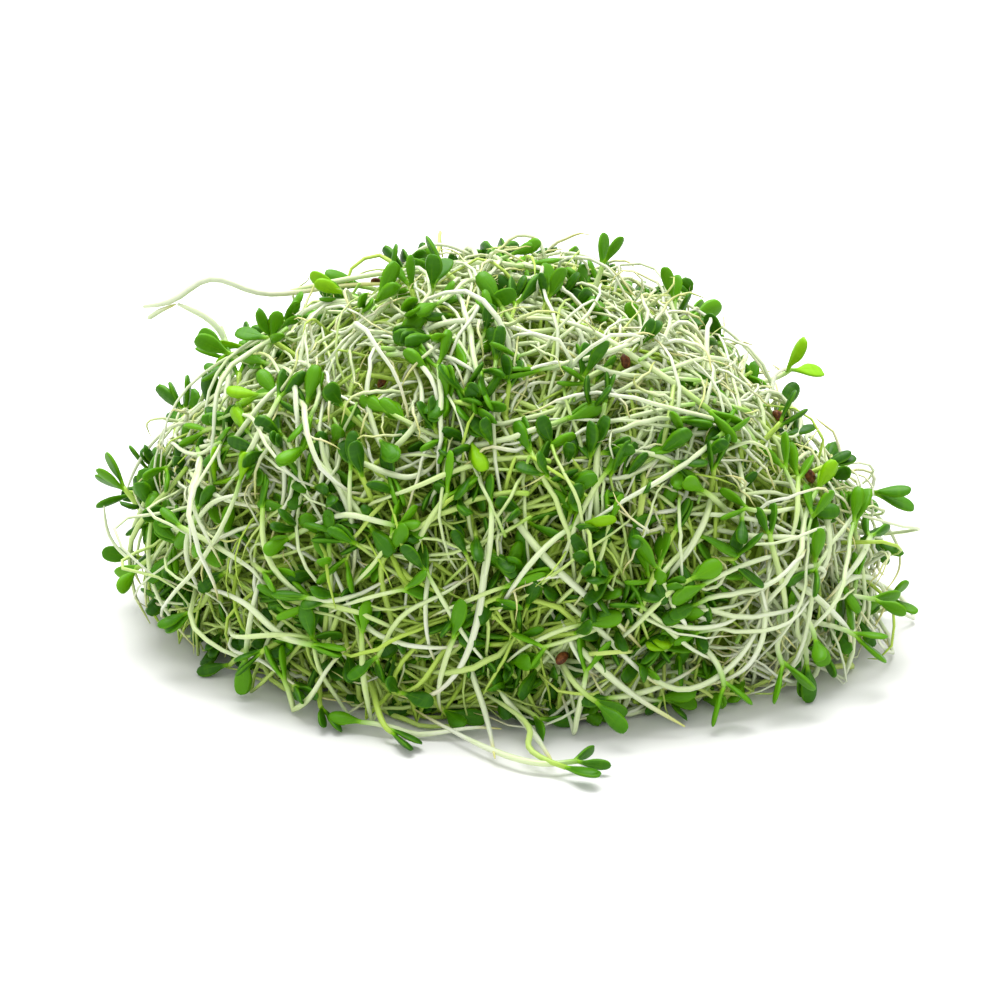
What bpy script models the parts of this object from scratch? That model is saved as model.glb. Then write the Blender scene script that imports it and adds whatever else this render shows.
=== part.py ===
"""A loose heap of alfalfa sprouts, lying on its own flat underside.

Frame: metres, +Z up, the origin under the middle of the heap on the surface that it lies on.
-Y is the side of the heap that the viewer faces. The matted core of roots carries most of the sprouts,
which are fused to it. The sprouts that lie loose on the heap are separate, and so are the seed hulls.
"""

import math

import bmesh
import bpy
import numpy as np

MM = 0.001

# Driving dimensions of the heap
HALF_WIDTH = 62 * MM
HALF_DEPTH = 48 * MM
HEIGHT = 61 * MM
# Where the heap falls short of an ellipsoid or stands out of it: the place in millimetres, how wide the
# swell is, and how far out it stands as a share of the heap's size
SWELLS = (
    ((-38, -34, 6), 0.45, -0.12),
    ((10, -48, 6), 0.4, -0.08),
    ((57, 9, 29), 0.34, -0.08),
    ((60, -6, 8), 0.3, 0.1),
)
CORE_SHARE = 0.84
CORE_LUMP = 0.03
CORE_SIDES = 26
CORE_RINGS = 8
UNDERSIDE_SHARE = 0.92
FLOOR_GAP = 0.25 * MM

# One sprout: its stem and root are one tapering strand, with two seed leaves at the stem's end.
# A pair is the range that each sprout draws its own value from.
STEM_RADIUS = 0.66 * MM
ROOT_RADIUS = 0.42 * MM
LEAF_LENGTH = 6.4 * MM
LEAF_WIDTH = 3.3 * MM
LEAF_THICKNESS = 1.1 * MM
NECK_WIDTH = 0.7 * MM
LEAF_SUNK = 0.8 * MM
LEAF_SIZES = (0.85, 1.1)
LEAF_HALF_ANGLES = (14, 50)
LEAF_CURLS = (0.02, 0.16)
STEM_THICKNESSES = (0.85, 1.2)
STEM_SWAYS = (0.3 * MM, 1.5 * MM)
STEM_TURNS = (0.6, 1.3)

# One seed hull
HULL_LENGTH = 2.6 * MM
HULL_WIDTH = 1.7 * MM
HULL_THICKNESS = 1.1 * MM

# What grows out of the core: how many, how far each reaches, and the shares of the heap's size it comes to
FUSED_SPROUTS = 82
FUSED_REACH = (15 * MM, 26 * MM)
FUSED_SHARES = (0.93, 1.03)
ROOT_LOOPS = 62
LOOP_HALF_SPANS = (10 * MM, 20 * MM)
LOOP_SHARES = (0.89, 0.97)
LOOP_LIFT = 1.1
ROOTED_SHARE = CORE_SHARE - 0.06

# The loose sprouts on the side away from the viewer, and the clear gap between separate pieces
BACK_SPROUTS = 10
BACK_AZIMUTHS = (20, 160)
BACK_RISES = (12, 62)
BACK_REACH = (20 * MM, 26 * MM)
CLEAR_GAP = 0.4 * MM
SHARPEST_TURN = math.radians(48)
SEED = 1507

HEAP = np.array([HALF_WIDTH, HALF_DEPTH, HEIGHT])
UP = np.array([0.0, 0.0, 1.0])

# The loose sprouts are placed by eye as the heap is seen from the front, looking down this steeply
VIEW_TILT = math.radians(24)
VIEW_ACROSS = np.array([1.0, 0.0, 0.0])
VIEW_UP = np.array([0.0, math.sin(VIEW_TILT), math.cos(VIEW_TILT)])
VIEW_AHEAD = np.array([0.0, math.cos(VIEW_TILT), -math.sin(VIEW_TILT)])

# Each loose sprout: how far across and up the middle of its leaves is, which way they point (0 is right,
# 90 is up), how far it stands off the heap, and how far round the heap its stem reaches. Millimetres and
# degrees.
LOOSE_SPROUTS = (
    (-15, 56, 105, 2, 24),
    (8, 55, 85, 2, 20),
    (17, 59, 75, 3, 26),
    (-9, 56, 65, 2, 20),
    (-28, 53, 165, 2, 24),
    (27, 54, 100, 2, 22),
    (-39, 47, 140, 2, 24),
    (-45, 42, 168, 4, 26),
    (-41, 27, 188, 1, 24),
    (-61, 24, 110, 3, 26),
    (-63, 19, 178, 2, 22),
    (-54, 15, 140, 1, 24),
    (-59, 6, 228, 3, 26),
    (-52, 0, 218, 1, 22),
    (-40, -6, 215, 2, 24),
    (-25, -15, 322, 2, 22),
    (-14, -18, 325, 2, 20),
    (13, -21, 348, 4, 30),
    (17, -13, 320, 3, 22),
    (35, -12, 282, 3, 26),
    (43, -9, 262, 3, 24),
    (48, -5, 275, 4, 26),
    (57, -3, 330, 4, 26),
    (62, 19, 340, 3, 24),
    (61, 4, 2, 4, 28),
    (47, 40, 36, 5, 28),
    (45, 34, 58, 3, 24),
    (54, 25, 20, 2, 22),
    (-23, 27, 112, 1, 26),
    (-27, 37, 132, 1, 22),
    (-6, 40, 100, 1, 24),
    (2, 41, 80, 1, 24),
    (14, 42, 70, 1, 22),
    (24, 46, 42, 1, 22),
    (33, 28, 98, 1, 24),
    (31, 23, 158, 1, 22),
    (-27, 13, 86, 1, 26),
    (-29, 5, 176, 1, 24),
    (3, 6, 22, 1, 24),
    (15, 0, 18, 1, 26),
    (-15, 15, 58, 1, 24),
    (40, 10, 350, 1, 22),
)

# The seed hulls lie against stems, at these places of the same view
SEED_HULLS = (
    (-27, 57),
    (-20, 40),
    (17, 44),
    (50, 32),
    (53, 22),
    (6, -7),
)


def unit(v):
    return v / np.linalg.norm(v)


def share_of(points):
    """How far out points lie, where 1 is the heap's surface: an ellipsoid with a few broad swells."""
    scaled = points / HEAP
    length = np.linalg.norm(scaled, axis=-1)
    form = 1
    for towards, width, height in SWELLS:
        middle = unit(np.array(towards) * MM / HEAP)
        form = form + height * np.exp((scaled @ middle / length - 1) / width**2)
    return length / form


def heap_point(direction, share):
    return direction * share / share_of(direction)


def normal_at(point):
    return unit(point / HEAP**2)


def along_surface(vector, point):
    """The part of a vector that runs along the heap's surface at a point."""
    normal = normal_at(point)
    return unit(vector - normal * (vector @ normal))


def seen_point(across, up, off):
    """The point of the heap that the front view shows at this place, moved out by off.

    It is the first point of the view ray that lies in the heap. Past the heap's outline it is the ray's
    point with the least share, and never one under the surface that the heap lies on.
    """
    start = VIEW_ACROSS * across + VIEW_UP * up
    back = -VIEW_AHEAD
    ray = start + back * np.linspace(150, -150, 3001)[:, None] * MM
    shares = share_of(ray)
    point = ray[np.argmax(shares <= 1) if (shares <= 1).any() else np.argmin(shares)]
    if point[2] < 2 * MM:
        point = start - back * (start[2] - 2 * MM) / back[2]
    return point + normal_at(point) * off


def bezier(ends, count):
    t = np.linspace(0, 1, count)[:, None]
    p0, p1, p2, p3 = ends
    return (
        (1 - t) ** 3 * p0
        + 3 * (1 - t) ** 2 * t * p1
        + 3 * (1 - t) * t**2 * p2
        + t**3 * p3
    )


def strand(ends, sway, turns, phase, least_share, count):
    """A strand: a cubic curve that sways from side to side, kept out of the core and off the floor."""
    path = bezier(ends, count)
    t = np.linspace(0, 1, count)[:, None]
    path = path + sway * np.sin(2 * math.pi * turns * t + phase) * 4 * t * (1 - t)
    path = path * np.maximum(1, least_share / share_of(path))[:, None]
    floor = STEM_RADIUS + FLOOR_GAP
    path[:, 2] = floor + np.maximum(path[:, 2] - floor, 0)
    return path


def leaf_pair(rng, base, direction, half_angle, scale):
    """The two seed leaves: where each starts, the way it points and its broad side's way.

    The first carries on from the stem's end, and the second leaves the stem just short of it.
    """
    across = unit(np.cross(direction, rng.normal(size=3)))
    apart = np.cross(across, direction)
    leaves = []
    for side in (-1, 1):
        pointing = unit(direction * math.cos(half_angle) + apart * side * math.sin(half_angle))
        length = LEAF_LENGTH * scale * rng.uniform(0.88, 1.08)
        least_rise = (LEAF_THICKNESS + FLOOR_GAP - base[2]) / length
        if pointing[2] < least_rise:
            pointing = unit(np.array([pointing[0], pointing[1], least_rise]))
        leaves.append(
            {
                "start": base - direction * LEAF_SUNK * (side > 0),
                "pointing": pointing,
                "across": unit(across - pointing * (across @ pointing)),
                "length": length,
                "width": LEAF_WIDTH * scale * rng.uniform(0.9, 1.1),
                "curl": -side * rng.uniform(*LEAF_CURLS),
            }
        )
    return leaves


def sprout(rng, base, direction, heading, reach, root_share, least_share, count):
    """A whole sprout from its leaves down to its root's end.

    The stem leaves the leaves against their direction, then bends along heading until the root's end,
    which lies reach away and at root_share of the heap's size.
    """
    root = base + heading * reach
    root[2] = abs(root[2])
    root = heap_point(root, root_share)
    span = np.linalg.norm(root - base)
    arrive = unit(heading * 0.9 - normal_at(root) * 0.6 * (least_share == 0))
    ends = (
        base,
        base - direction * span * rng.uniform(0.25, 0.5),
        root - arrive * span * rng.uniform(0.2, 0.45),
        root,
    )
    sway = rng.normal(size=3) * rng.uniform(*STEM_SWAYS)
    path = strand(ends, sway, rng.uniform(*STEM_TURNS), rng.uniform(0, 2 * math.pi), least_share, count)
    away = unit(path[0] - path[1])
    half_angle = math.radians(rng.uniform(*LEAF_HALF_ANGLES))
    return {
        "path": path,
        "thickness": rng.uniform(*STEM_THICKNESSES),
        "leaves": leaf_pair(rng, path[0], away, half_angle, rng.uniform(*LEAF_SIZES)),
    }


def strand_radii(count, thickness):
    """A strand thins a little at the leaves, and evenly from the middle to the root's end."""
    t = np.linspace(0, 1, count)
    stem = STEM_RADIUS * (0.86 + 0.14 * np.sin(math.pi * np.minimum(t / 0.7, 1)))
    return thickness * (stem + (ROOT_RADIUS - STEM_RADIUS) * np.maximum(t - 0.4, 0) / 0.6)


def chain_of(one):
    """Balls that cover a sprout or loop, for keeping pieces clear of each other."""
    path = one["path"]
    t = np.linspace(0, len(path) - 1, 45)
    centres = [np.stack([np.interp(t, np.arange(len(path)), path[:, k]) for k in range(3)], axis=1)]
    radii = [np.full(45, STEM_RADIUS * one["thickness"])]
    for leaf in one["leaves"]:
        for part, size in ((0.3, 0.75), (0.55, 1.0), (0.8, 0.95)):
            centres.append((leaf["start"] + leaf["pointing"] * leaf["length"] * part)[None])
            radii.append(np.array([size * leaf["width"] / 2]))
    return np.concatenate(centres), np.concatenate(radii)


def is_clear(chain, chains, gap):
    """True if no ball of the chain comes within gap of a ball of the others."""
    if not chains:
        return True
    centres = np.concatenate([c for c, _ in chains])
    radii = np.concatenate([r for _, r in chains])
    apart = np.linalg.norm(chain[0][:, None] - centres[None], axis=2)
    return bool((apart - chain[1][:, None] - radii[None] > gap).all())


def bends_gently(path):
    """True if the path nowhere turns by more than SHARPEST_TURN from one of its steps to the next."""
    steps = np.diff(path, axis=0)
    steps /= np.linalg.norm(steps, axis=1)[:, None]
    return bool(((steps[1:] * steps[:-1]).sum(axis=1) > math.cos(SHARPEST_TURN)).all())


def turned(vector, axis, angle):
    """A vector turned about a unit axis that it is square to."""
    return vector * math.cos(angle) + np.cross(axis, vector) * math.sin(angle)


def place_loose(rng, chains):
    """The loose sprouts, each tried with a few bends of its stem until it lies clear of the others."""
    placed = []
    for across, up, pointing, off, reach in LOOSE_SPROUTS:
        angle = math.radians(pointing)
        screen = VIEW_ACROSS * math.cos(angle) + VIEW_UP * math.sin(angle)
        half = LEAF_LENGTH / 2
        start = (across * MM - half * math.cos(angle), up * MM - half * math.sin(angle))
        base = seen_point(*start, off * MM)
        placed.append(settle_loose(rng, chains, base, screen, reach * MM))
    golden = (math.sqrt(5) - 1) / 2
    for number in range(BACK_SPROUTS):
        azimuth = math.radians(np.interp((number + 0.5) / BACK_SPROUTS, (0, 1), BACK_AZIMUTHS))
        rise = math.radians(np.interp(number * golden % 1, (0, 1), BACK_RISES))
        flat = math.cos(rise)
        outward = np.array([math.cos(azimuth) * flat, math.sin(azimuth) * flat, math.sin(rise)])
        base = heap_point(outward, 1.02)
        pointing = along_surface(rng.normal(size=3) + UP * 0.4, base)
        placed.append(settle_loose(rng, chains, base, pointing, rng.uniform(*BACK_REACH)))
    return placed


def settle_loose(rng, chains, base, screen, reach):
    """One loose sprout: its leaves point along screen, and its root's end rests against the core."""
    normal = normal_at(base)
    run = along_surface(-screen, base)
    rest_share = CORE_SHARE + CORE_LUMP + (STEM_RADIUS + CLEAR_GAP) / HEIGHT
    for attempt in range(400):
        ease = attempt / 40
        spot = base + rng.normal(size=3) * 0.3 * MM * ease
        spot[2] = max(spot[2], 1.5 * MM)
        direction = unit(screen + normal * rng.uniform(0.1, 0.5))
        heading = turned(run, normal, rng.uniform(-0.3, 0.3) * (1 + ease))
        own_reach = reach * rng.uniform(0.8, 1.1)
        one = sprout(rng, spot, direction, heading, own_reach, rest_share, rest_share, 9)
        chain = chain_of(one)
        off_core = share_of(chain[0]) - (chain[1] + CLEAR_GAP) / HEIGHT > CORE_SHARE + CORE_LUMP
        if off_core.all() and bends_gently(one["path"]) and is_clear(chain, chains, CLEAR_GAP):
            chains.append(chain)
            return one
    raise RuntimeError(f"no clear place for the loose sprout at {base}")


def spread_directions(count):
    """Directions spread evenly over the upper half, by the golden angle."""
    k = np.arange(count) + 0.5
    rise = k / count
    azimuth = k * math.pi * (3 - math.sqrt(5))
    flat = np.sqrt(1 - rise**2)
    return np.stack([flat * np.cos(azimuth), flat * np.sin(azimuth), rise], axis=1)


def grow_fused(rng, chains):
    """The sprouts that grow out of the core, drawn at random and kept where they are clear of the rest."""
    grown = []
    for outward in spread_directions(FUSED_SPROUTS):
        for _ in range(60):
            spot = unit(outward + rng.normal(size=3) * 0.07)
            spot[2] = max(abs(spot[2]), 0.04)
            base = heap_point(spot, rng.uniform(*FUSED_SHARES))
            normal = normal_at(base)
            side = along_surface(rng.normal(size=3), base)
            direction = unit(side + normal * rng.uniform(0.0, 0.75))
            heading = turned(-side, normal, rng.uniform(-0.8, 0.8))
            one = sprout(rng, base, direction, heading, rng.uniform(*FUSED_REACH), ROOTED_SHARE, 0, 7)
            chain = chain_of(one)
            outside = share_of(chain[0]) > CORE_SHARE + 0.03
            chain = (chain[0][outside], chain[1][outside])
            if bends_gently(one["path"]) and is_clear(chain, chains, CLEAR_GAP):
                chains.append(chain)
                grown.append(one)
                break
    return grown


def grow_loops(rng, chains):
    """Bare roots and stems that arch out of the core and back into it."""
    loops = []
    for outward in spread_directions(ROOT_LOOPS):
        for _ in range(60):
            middle = unit(outward + rng.normal(size=3) * 0.1)
            middle[2] = abs(middle[2]) + 0.08
            side = along_surface(rng.normal(size=3), middle)
            half = rng.uniform(*LOOP_HALF_SPANS)
            top = heap_point(middle, rng.uniform(*LOOP_SHARES))
            ends = [heap_point(top + side * half * s, ROOTED_SHARE) for s in (-1, 1)]
            lift = (top - (ends[0] + ends[1]) / 2) * LOOP_LIFT
            controls = (ends[0], ends[0] + lift, ends[1] + lift, ends[1])
            sway = side * rng.uniform(-1.5, 1.5) * MM + rng.normal(size=3) * 0.8 * MM
            path = strand(controls, sway, rng.uniform(0.5, 1), rng.uniform(0, 2 * math.pi), 0, 6)
            one = {"path": path, "thickness": rng.uniform(0.7, 1.0), "leaves": []}
            chain = chain_of(one)
            outside = share_of(chain[0]) > CORE_SHARE + 0.03
            chain = (chain[0][outside], chain[1][outside])
            if bends_gently(path) and is_clear(chain, chains, CLEAR_GAP):
                chains.append(chain)
                loops.append(one)
                break
    return loops


def lay_hulls(rng, chains, carriers):
    """Each seed hull lies flat against the outer side of the stem nearest to its place."""
    hulls = []
    stems = np.concatenate([one["path"][1:-1] for one in carriers])
    for across, up in SEED_HULLS:
        wanted = seen_point(across * MM, up * MM, 0)
        order = np.argsort(np.linalg.norm(stems - wanted, axis=1))
        hulls.append(settle_hull(rng, chains, stems[order[:40]]))
    return hulls


def settle_hull(rng, chains, stems):
    """One hull, against the first of these points of stems where it is clear of every other piece."""
    stand_off = 1.2 * STEM_RADIUS + CLEAR_GAP / 2 + HULL_THICKNESS / 2
    for stem in stems:
        for _ in range(12):
            outward = unit(normal_at(stem) + rng.normal(size=3) * 0.5)
            centre = stem + outward * stand_off
            long_way = unit(np.cross(outward, rng.normal(size=3)))
            steps = np.linspace(-0.5, 0.5, 5)[:, None] * (HULL_LENGTH - HULL_THICKNESS)
            chain = (centre + long_way * steps, np.full(5, HULL_THICKNESS / 2))
            if is_clear(chain, chains, CLEAR_GAP / 4) and share_of(centre) > 0.86:
                chains.append(chain)
                return {"centre": centre, "long_way": long_way, "outward": outward}
    raise RuntimeError("no clear place for a seed hull")


def ring_solid(path, side, half_side, half_thick, sides):
    """A closed solid round a path, with an ellipse of flat sides at each of its points.

    The first point may have no width. The side's way is carried along without twisting.
    """
    angles = math.pi / 2 + 2 * math.pi * np.arange(sides) / sides
    tangents = np.gradient(path, axis=0)
    verts = []
    for point, tangent, wide, thick in zip(path, tangents, half_side, half_thick):
        tangent = unit(tangent)
        side = unit(side - tangent * (side @ tangent))
        normal = np.cross(tangent, side)
        turn = [side * math.cos(a) * wide + normal * math.sin(a) * thick for a in angles]
        verts.extend(point + t for t in (turn if wide > 0 else [np.zeros(3)]))
    rings = len(path)
    if half_side[0] == 0:
        rings -= 1
        faces = [(0, 1 + (k + 1) % sides, 1 + k) for k in range(sides)]
    else:
        faces = [tuple(range(sides))[::-1]]
    first = len(verts) - rings * sides
    for ring in range(rings - 1):
        for k in range(sides):
            here = first + ring * sides + k
            after = first + ring * sides + (k + 1) % sides
            faces.append((here, after, after + sides, here + sides))
    last = len(verts) - sides
    faces.append(tuple(range(last, last + sides)))
    for vert in verts:
        vert[2] = max(vert[2], FLOOR_GAP)
    return verts, faces


def leaf_line(leaf):
    """A seed leaf from its tip to its neck: its middle line, half its widths and half its thicknesses.

    It is a spoon shape that widens from the neck, curls a little and ends in a round tip.
    """
    along = np.array([1.0, 0.78, 0.38, 0.0])
    wide = np.array([0.0, 0.92 * leaf["width"], 0.86 * leaf["width"], NECK_WIDTH]) / 2
    thick = np.array([0.0, LEAF_THICKNESS * 0.9, LEAF_THICKNESS, NECK_WIDTH]) / 2
    back = np.cross(leaf["across"], leaf["pointing"])
    path = (
        leaf["start"]
        + along[:, None] * leaf["pointing"] * leaf["length"]
        + (along**2)[:, None] * back * leaf["curl"] * leaf["length"]
    )
    return path, wide, thick


def strand_solid(one, sides):
    """A bare root or stem, cut off square at both ends."""
    path = one["path"]
    radii = strand_radii(len(path), one["thickness"])
    return ring_solid(path, np.cross(path[1] - path[0], UP + VIEW_ACROSS * 0.3), radii, radii, sides)


def sprout_solids(one, sides):
    """A sprout as two solids: the first leaf runs on into the stem and root, and the second is sunk in."""
    radii = strand_radii(len(one["path"]), one["thickness"])
    first, second = one["leaves"]
    path, wide, thick = leaf_line(first)
    whole = ring_solid(
        np.concatenate([path[:-1], one["path"]]),
        first["across"],
        np.concatenate([wide[:-1], radii]),
        np.concatenate([thick[:-1], radii]),
        sides,
    )
    path, wide, thick = leaf_line(second)
    return [whole, ring_solid(path, second["across"], wide, thick, sides)]


def core_solid():
    """The matted core: a half ellipsoid with low rounded lumps, drawn in a little at its flat underside."""
    verts = []
    for ring in range(CORE_RINGS):
        rise = 0.5 * math.pi * ring / CORE_RINGS
        for k in range(CORE_SIDES):
            azimuth = 2 * math.pi * (k + 0.5 * (ring % 2)) / CORE_SIDES
            flat = math.cos(rise)
            direction = np.array([flat * math.cos(azimuth), flat * math.sin(azimuth), math.sin(rise)])
            lump = math.sin(5 * azimuth + 4 * rise) * math.cos(7 * rise - 2 * azimuth)
            share = (CORE_SHARE + CORE_LUMP * lump) * (UNDERSIDE_SHARE if ring == 0 else 1)
            verts.append(heap_point(direction * HEAP, share))
    verts.append(heap_point(UP, CORE_SHARE))
    faces = [tuple(range(CORE_SIDES))[::-1]]
    for ring in range(CORE_RINGS - 1):
        for k in range(CORE_SIDES):
            here, after = ring * CORE_SIDES + k, ring * CORE_SIDES + (k + 1) % CORE_SIDES
            above, above_after = here + CORE_SIDES, after + CORE_SIDES
            if ring % 2:
                faces += [(here, after, above_after), (here, above_after, above)]
            else:
                faces += [(here, after, above), (after, above_after, above)]
    last = (CORE_RINGS - 1) * CORE_SIDES
    faces += [(last + k, last + (k + 1) % CORE_SIDES, len(verts) - 1) for k in range(CORE_SIDES)]
    return verts, faces


def hull_solid(hull):
    """An empty seed hull: a small bean, as a row of six-sided rings."""
    along = np.array([-0.5, -0.36, 0.0, 0.36, 0.5])
    size = np.array([0.35, 0.85, 1.0, 0.8, 0.3])
    path = hull["centre"] + along[:, None] * hull["long_way"] * HULL_LENGTH
    side = np.cross(hull["outward"], hull["long_way"])
    return ring_solid(path, side, size * HULL_WIDTH / 2, size * HULL_THICKNESS / 2, 6)


def material(name, colour, roughness):
    made = bpy.data.materials.new(name)
    made.use_nodes = True
    shader = made.node_tree.nodes["Principled BSDF"]
    shader.inputs["Base Color"].default_value = (*colour, 1)
    shader.inputs["Roughness"].default_value = roughness
    shader.inputs["Metallic"].default_value = 0
    return made


def mesh_object(name, solid, collection):
    mesh = bpy.data.meshes.new(name)
    mesh.from_pydata([tuple(v) for v in solid[0]], [], solid[1])
    made = bpy.data.objects.new(name, mesh)
    collection.objects.link(made)
    return made


def keep_largest_body(mesh):
    """Drops what a union seals inside it or leaves loose: every body of the mesh but the largest."""
    shape = bmesh.new()
    shape.from_mesh(mesh)
    unseen = set(shape.faces)
    bodies = []
    while unseen:
        edge_of_search = [unseen.pop()]
        body = list(edge_of_search)
        while edge_of_search:
            near = {f for e in edge_of_search.pop().edges for f in e.link_faces} & unseen
            unseen -= near
            edge_of_search += near
            body += near
        bodies.append(body)
    bodies.sort(key=len)
    scraps = [face for body in bodies[:-1] for face in body]
    bmesh.ops.delete(shape, geom=scraps, context="FACES")
    shape.to_mesh(mesh)
    shape.free()


def fused_object(name, solids, finish):
    """One object from closed solids that overlap, joined by one Boolean union."""
    scene = bpy.context.scene.collection
    made = mesh_object(name, solids[0], scene)
    repeats = bpy.data.collections.new(name + "_repeats")
    scene.children.link(repeats)
    for number, solid in enumerate(solids[1:]):
        mesh_object(f"{name}_repeat_{number}", solid, repeats)
    join = made.modifiers.new("join", "BOOLEAN")
    join.operation = "UNION"
    join.operand_type = "COLLECTION"
    join.collection = repeats
    join.solver = "MANIFOLD"
    graph = bpy.context.evaluated_depsgraph_get()
    joined = bpy.data.meshes.new_from_object(made.evaluated_get(graph))
    keep_largest_body(joined)
    made.modifiers.clear()
    made.data = joined
    for repeat in list(repeats.objects):
        bpy.data.objects.remove(repeat)
    bpy.data.collections.remove(repeats)
    made.data.materials.clear()
    made.data.materials.append(finish)
    return made


def main():
    for old in list(bpy.data.objects):
        bpy.data.objects.remove(old)
    rng = np.random.default_rng(SEED)
    chains = []
    loose = place_loose(rng, chains)
    fused = grow_fused(rng, chains)
    loops = grow_loops(rng, chains)
    hulls = lay_hulls(rng, chains, fused + loose)

    matted = material("matted stems and roots", (0.80, 0.83, 0.58), 0.5)
    green = material("green sprout", (0.20, 0.50, 0.06), 0.45)
    brown = material("seed hull", (0.20, 0.07, 0.02), 0.6)

    solids = [core_solid()]
    for one in fused:
        solids += sprout_solids(one, 3)
    for one in loops:
        solids.append(strand_solid(one, 3))
    fused_object("tangle", solids, matted)
    for number, one in enumerate(loose, 1):
        fused_object(f"sprout_{number:02d}", sprout_solids(one, 4), green)
    for number, hull in enumerate(hulls, 1):
        made = mesh_object(f"seed_hull_{number}", hull_solid(hull), bpy.context.scene.collection)
        made.data.materials.append(brown)


main()
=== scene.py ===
import math

import bpy
import numpy as np
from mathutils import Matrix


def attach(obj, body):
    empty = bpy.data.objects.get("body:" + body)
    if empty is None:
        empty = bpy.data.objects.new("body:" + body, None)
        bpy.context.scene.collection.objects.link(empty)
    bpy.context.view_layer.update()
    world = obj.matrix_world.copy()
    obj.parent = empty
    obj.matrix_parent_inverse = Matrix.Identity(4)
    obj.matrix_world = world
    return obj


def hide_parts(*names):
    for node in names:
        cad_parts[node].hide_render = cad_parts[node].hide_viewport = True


# A loose heap of alfalfa sprouts. The sprouts that the solids hold are drawn again from the same seed, as
# fine surfaces, and many more are grown round them. Lengths are in millimetres until a mesh is made.

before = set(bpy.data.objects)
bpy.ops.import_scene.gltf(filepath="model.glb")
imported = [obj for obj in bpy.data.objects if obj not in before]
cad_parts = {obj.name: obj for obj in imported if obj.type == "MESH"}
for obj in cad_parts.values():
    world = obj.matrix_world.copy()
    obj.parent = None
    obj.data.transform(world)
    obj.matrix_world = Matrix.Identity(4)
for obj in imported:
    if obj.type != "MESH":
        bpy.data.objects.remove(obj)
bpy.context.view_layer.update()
metre = 0.001
up = np.array([0.0, 0.0, 1.0])

# What the solids were made from: the same values, in the same order of draws
heap = {
    "halfSizes": (62, 48, 61),
    # where the heap stands out from its ellipsoid or falls short of it: the way there, how wide, how far
    "swells": (
        ((-38, -34, 6), 0.45, -0.12),
        ((10, -48, 6), 0.4, -0.08),
        ((57, 9, 29), 0.34, -0.08),
        ((60, -6, 8), 0.3, 0.1),
    ),
    "coreShare": 0.84,        # the matted core's share of the heap's size
    "coreLump": 0.03,         # how high the core's lumps are, as the same kind of share
    "rootedShare": 0.78,      # where the fused sprouts' roots end, inside the core
    "floorGap": 0.25,
    "clearGap": 0.4,          # between one piece and the next
    "sharpestTurn": 48,       # of a stem from one step to the next, in degrees
    "viewTilt": 24,           # how far down the view looks, in degrees
    "seed": 1507,
}
sproutForm = {
    "stemRadius": 0.66,
    "rootRadius": 0.42,
    "leafLength": 6.4,
    "leafWidth": 3.3,
    "leafThickness": 1.1,
    "leafSunk": 0.8,          # how far back along the stem the second leaf starts
    "leafSizes": (0.85, 1.1),
    "leafLengths": (0.88, 1.08),
    "leafWidths": (0.9, 1.1),
    "leafHalfAngles": (14, 50),
    "leafCurls": (0.02, 0.16),
    "stemThicknesses": (0.85, 1.2),
    "stemSways": (0.3, 1.5),
    "stemTurns": (0.6, 1.3),
    # how far the curve's middle points are from its ends, as shares of its span
    "pullAtLeaves": (0.25, 0.5),
    "pullAtRoot": (0.2, 0.45),
    "arrivesAlong": 0.9,      # a root's last stretch: how much of it is along its heading, how much inwards
    "arrivesInwards": 0.6,
    "stemBalls": 45,          # the balls that cover a sprout, and a leaf's: how far along it and how wide
    "leafBalls": ((0.3, 0.75), (0.55, 1.0), (0.8, 0.95)),
}
fusedForm = {
    "sprouts": 82,
    "reach": (15, 26),
    "shares": (0.93, 1.03),
    "loops": 62,
    "loopHalfSpans": (10, 20),
    "loopShares": (0.89, 0.97),
    "loopLift": 1.1,
    "tries": 60,
    "shift": 0.07,            # how far a sprout's place moves at random from its even place
    "leastRise": 0.04,
    "lean": (0.0, 0.75),      # how far its leaves point away from the heap
    "swing": 0.8,             # how far its heading turns from straight behind its leaves, in radians
    "points": 7,
    "loopShift": 0.1,
    "loopLeastRise": 0.08,
    "loopSideSway": 1.5,
    "loopSway": 0.8,
    "loopTurns": (0.5, 1),
    "loopPoints": 6,
    "loopThicknesses": (0.7, 1.0),
}
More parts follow.
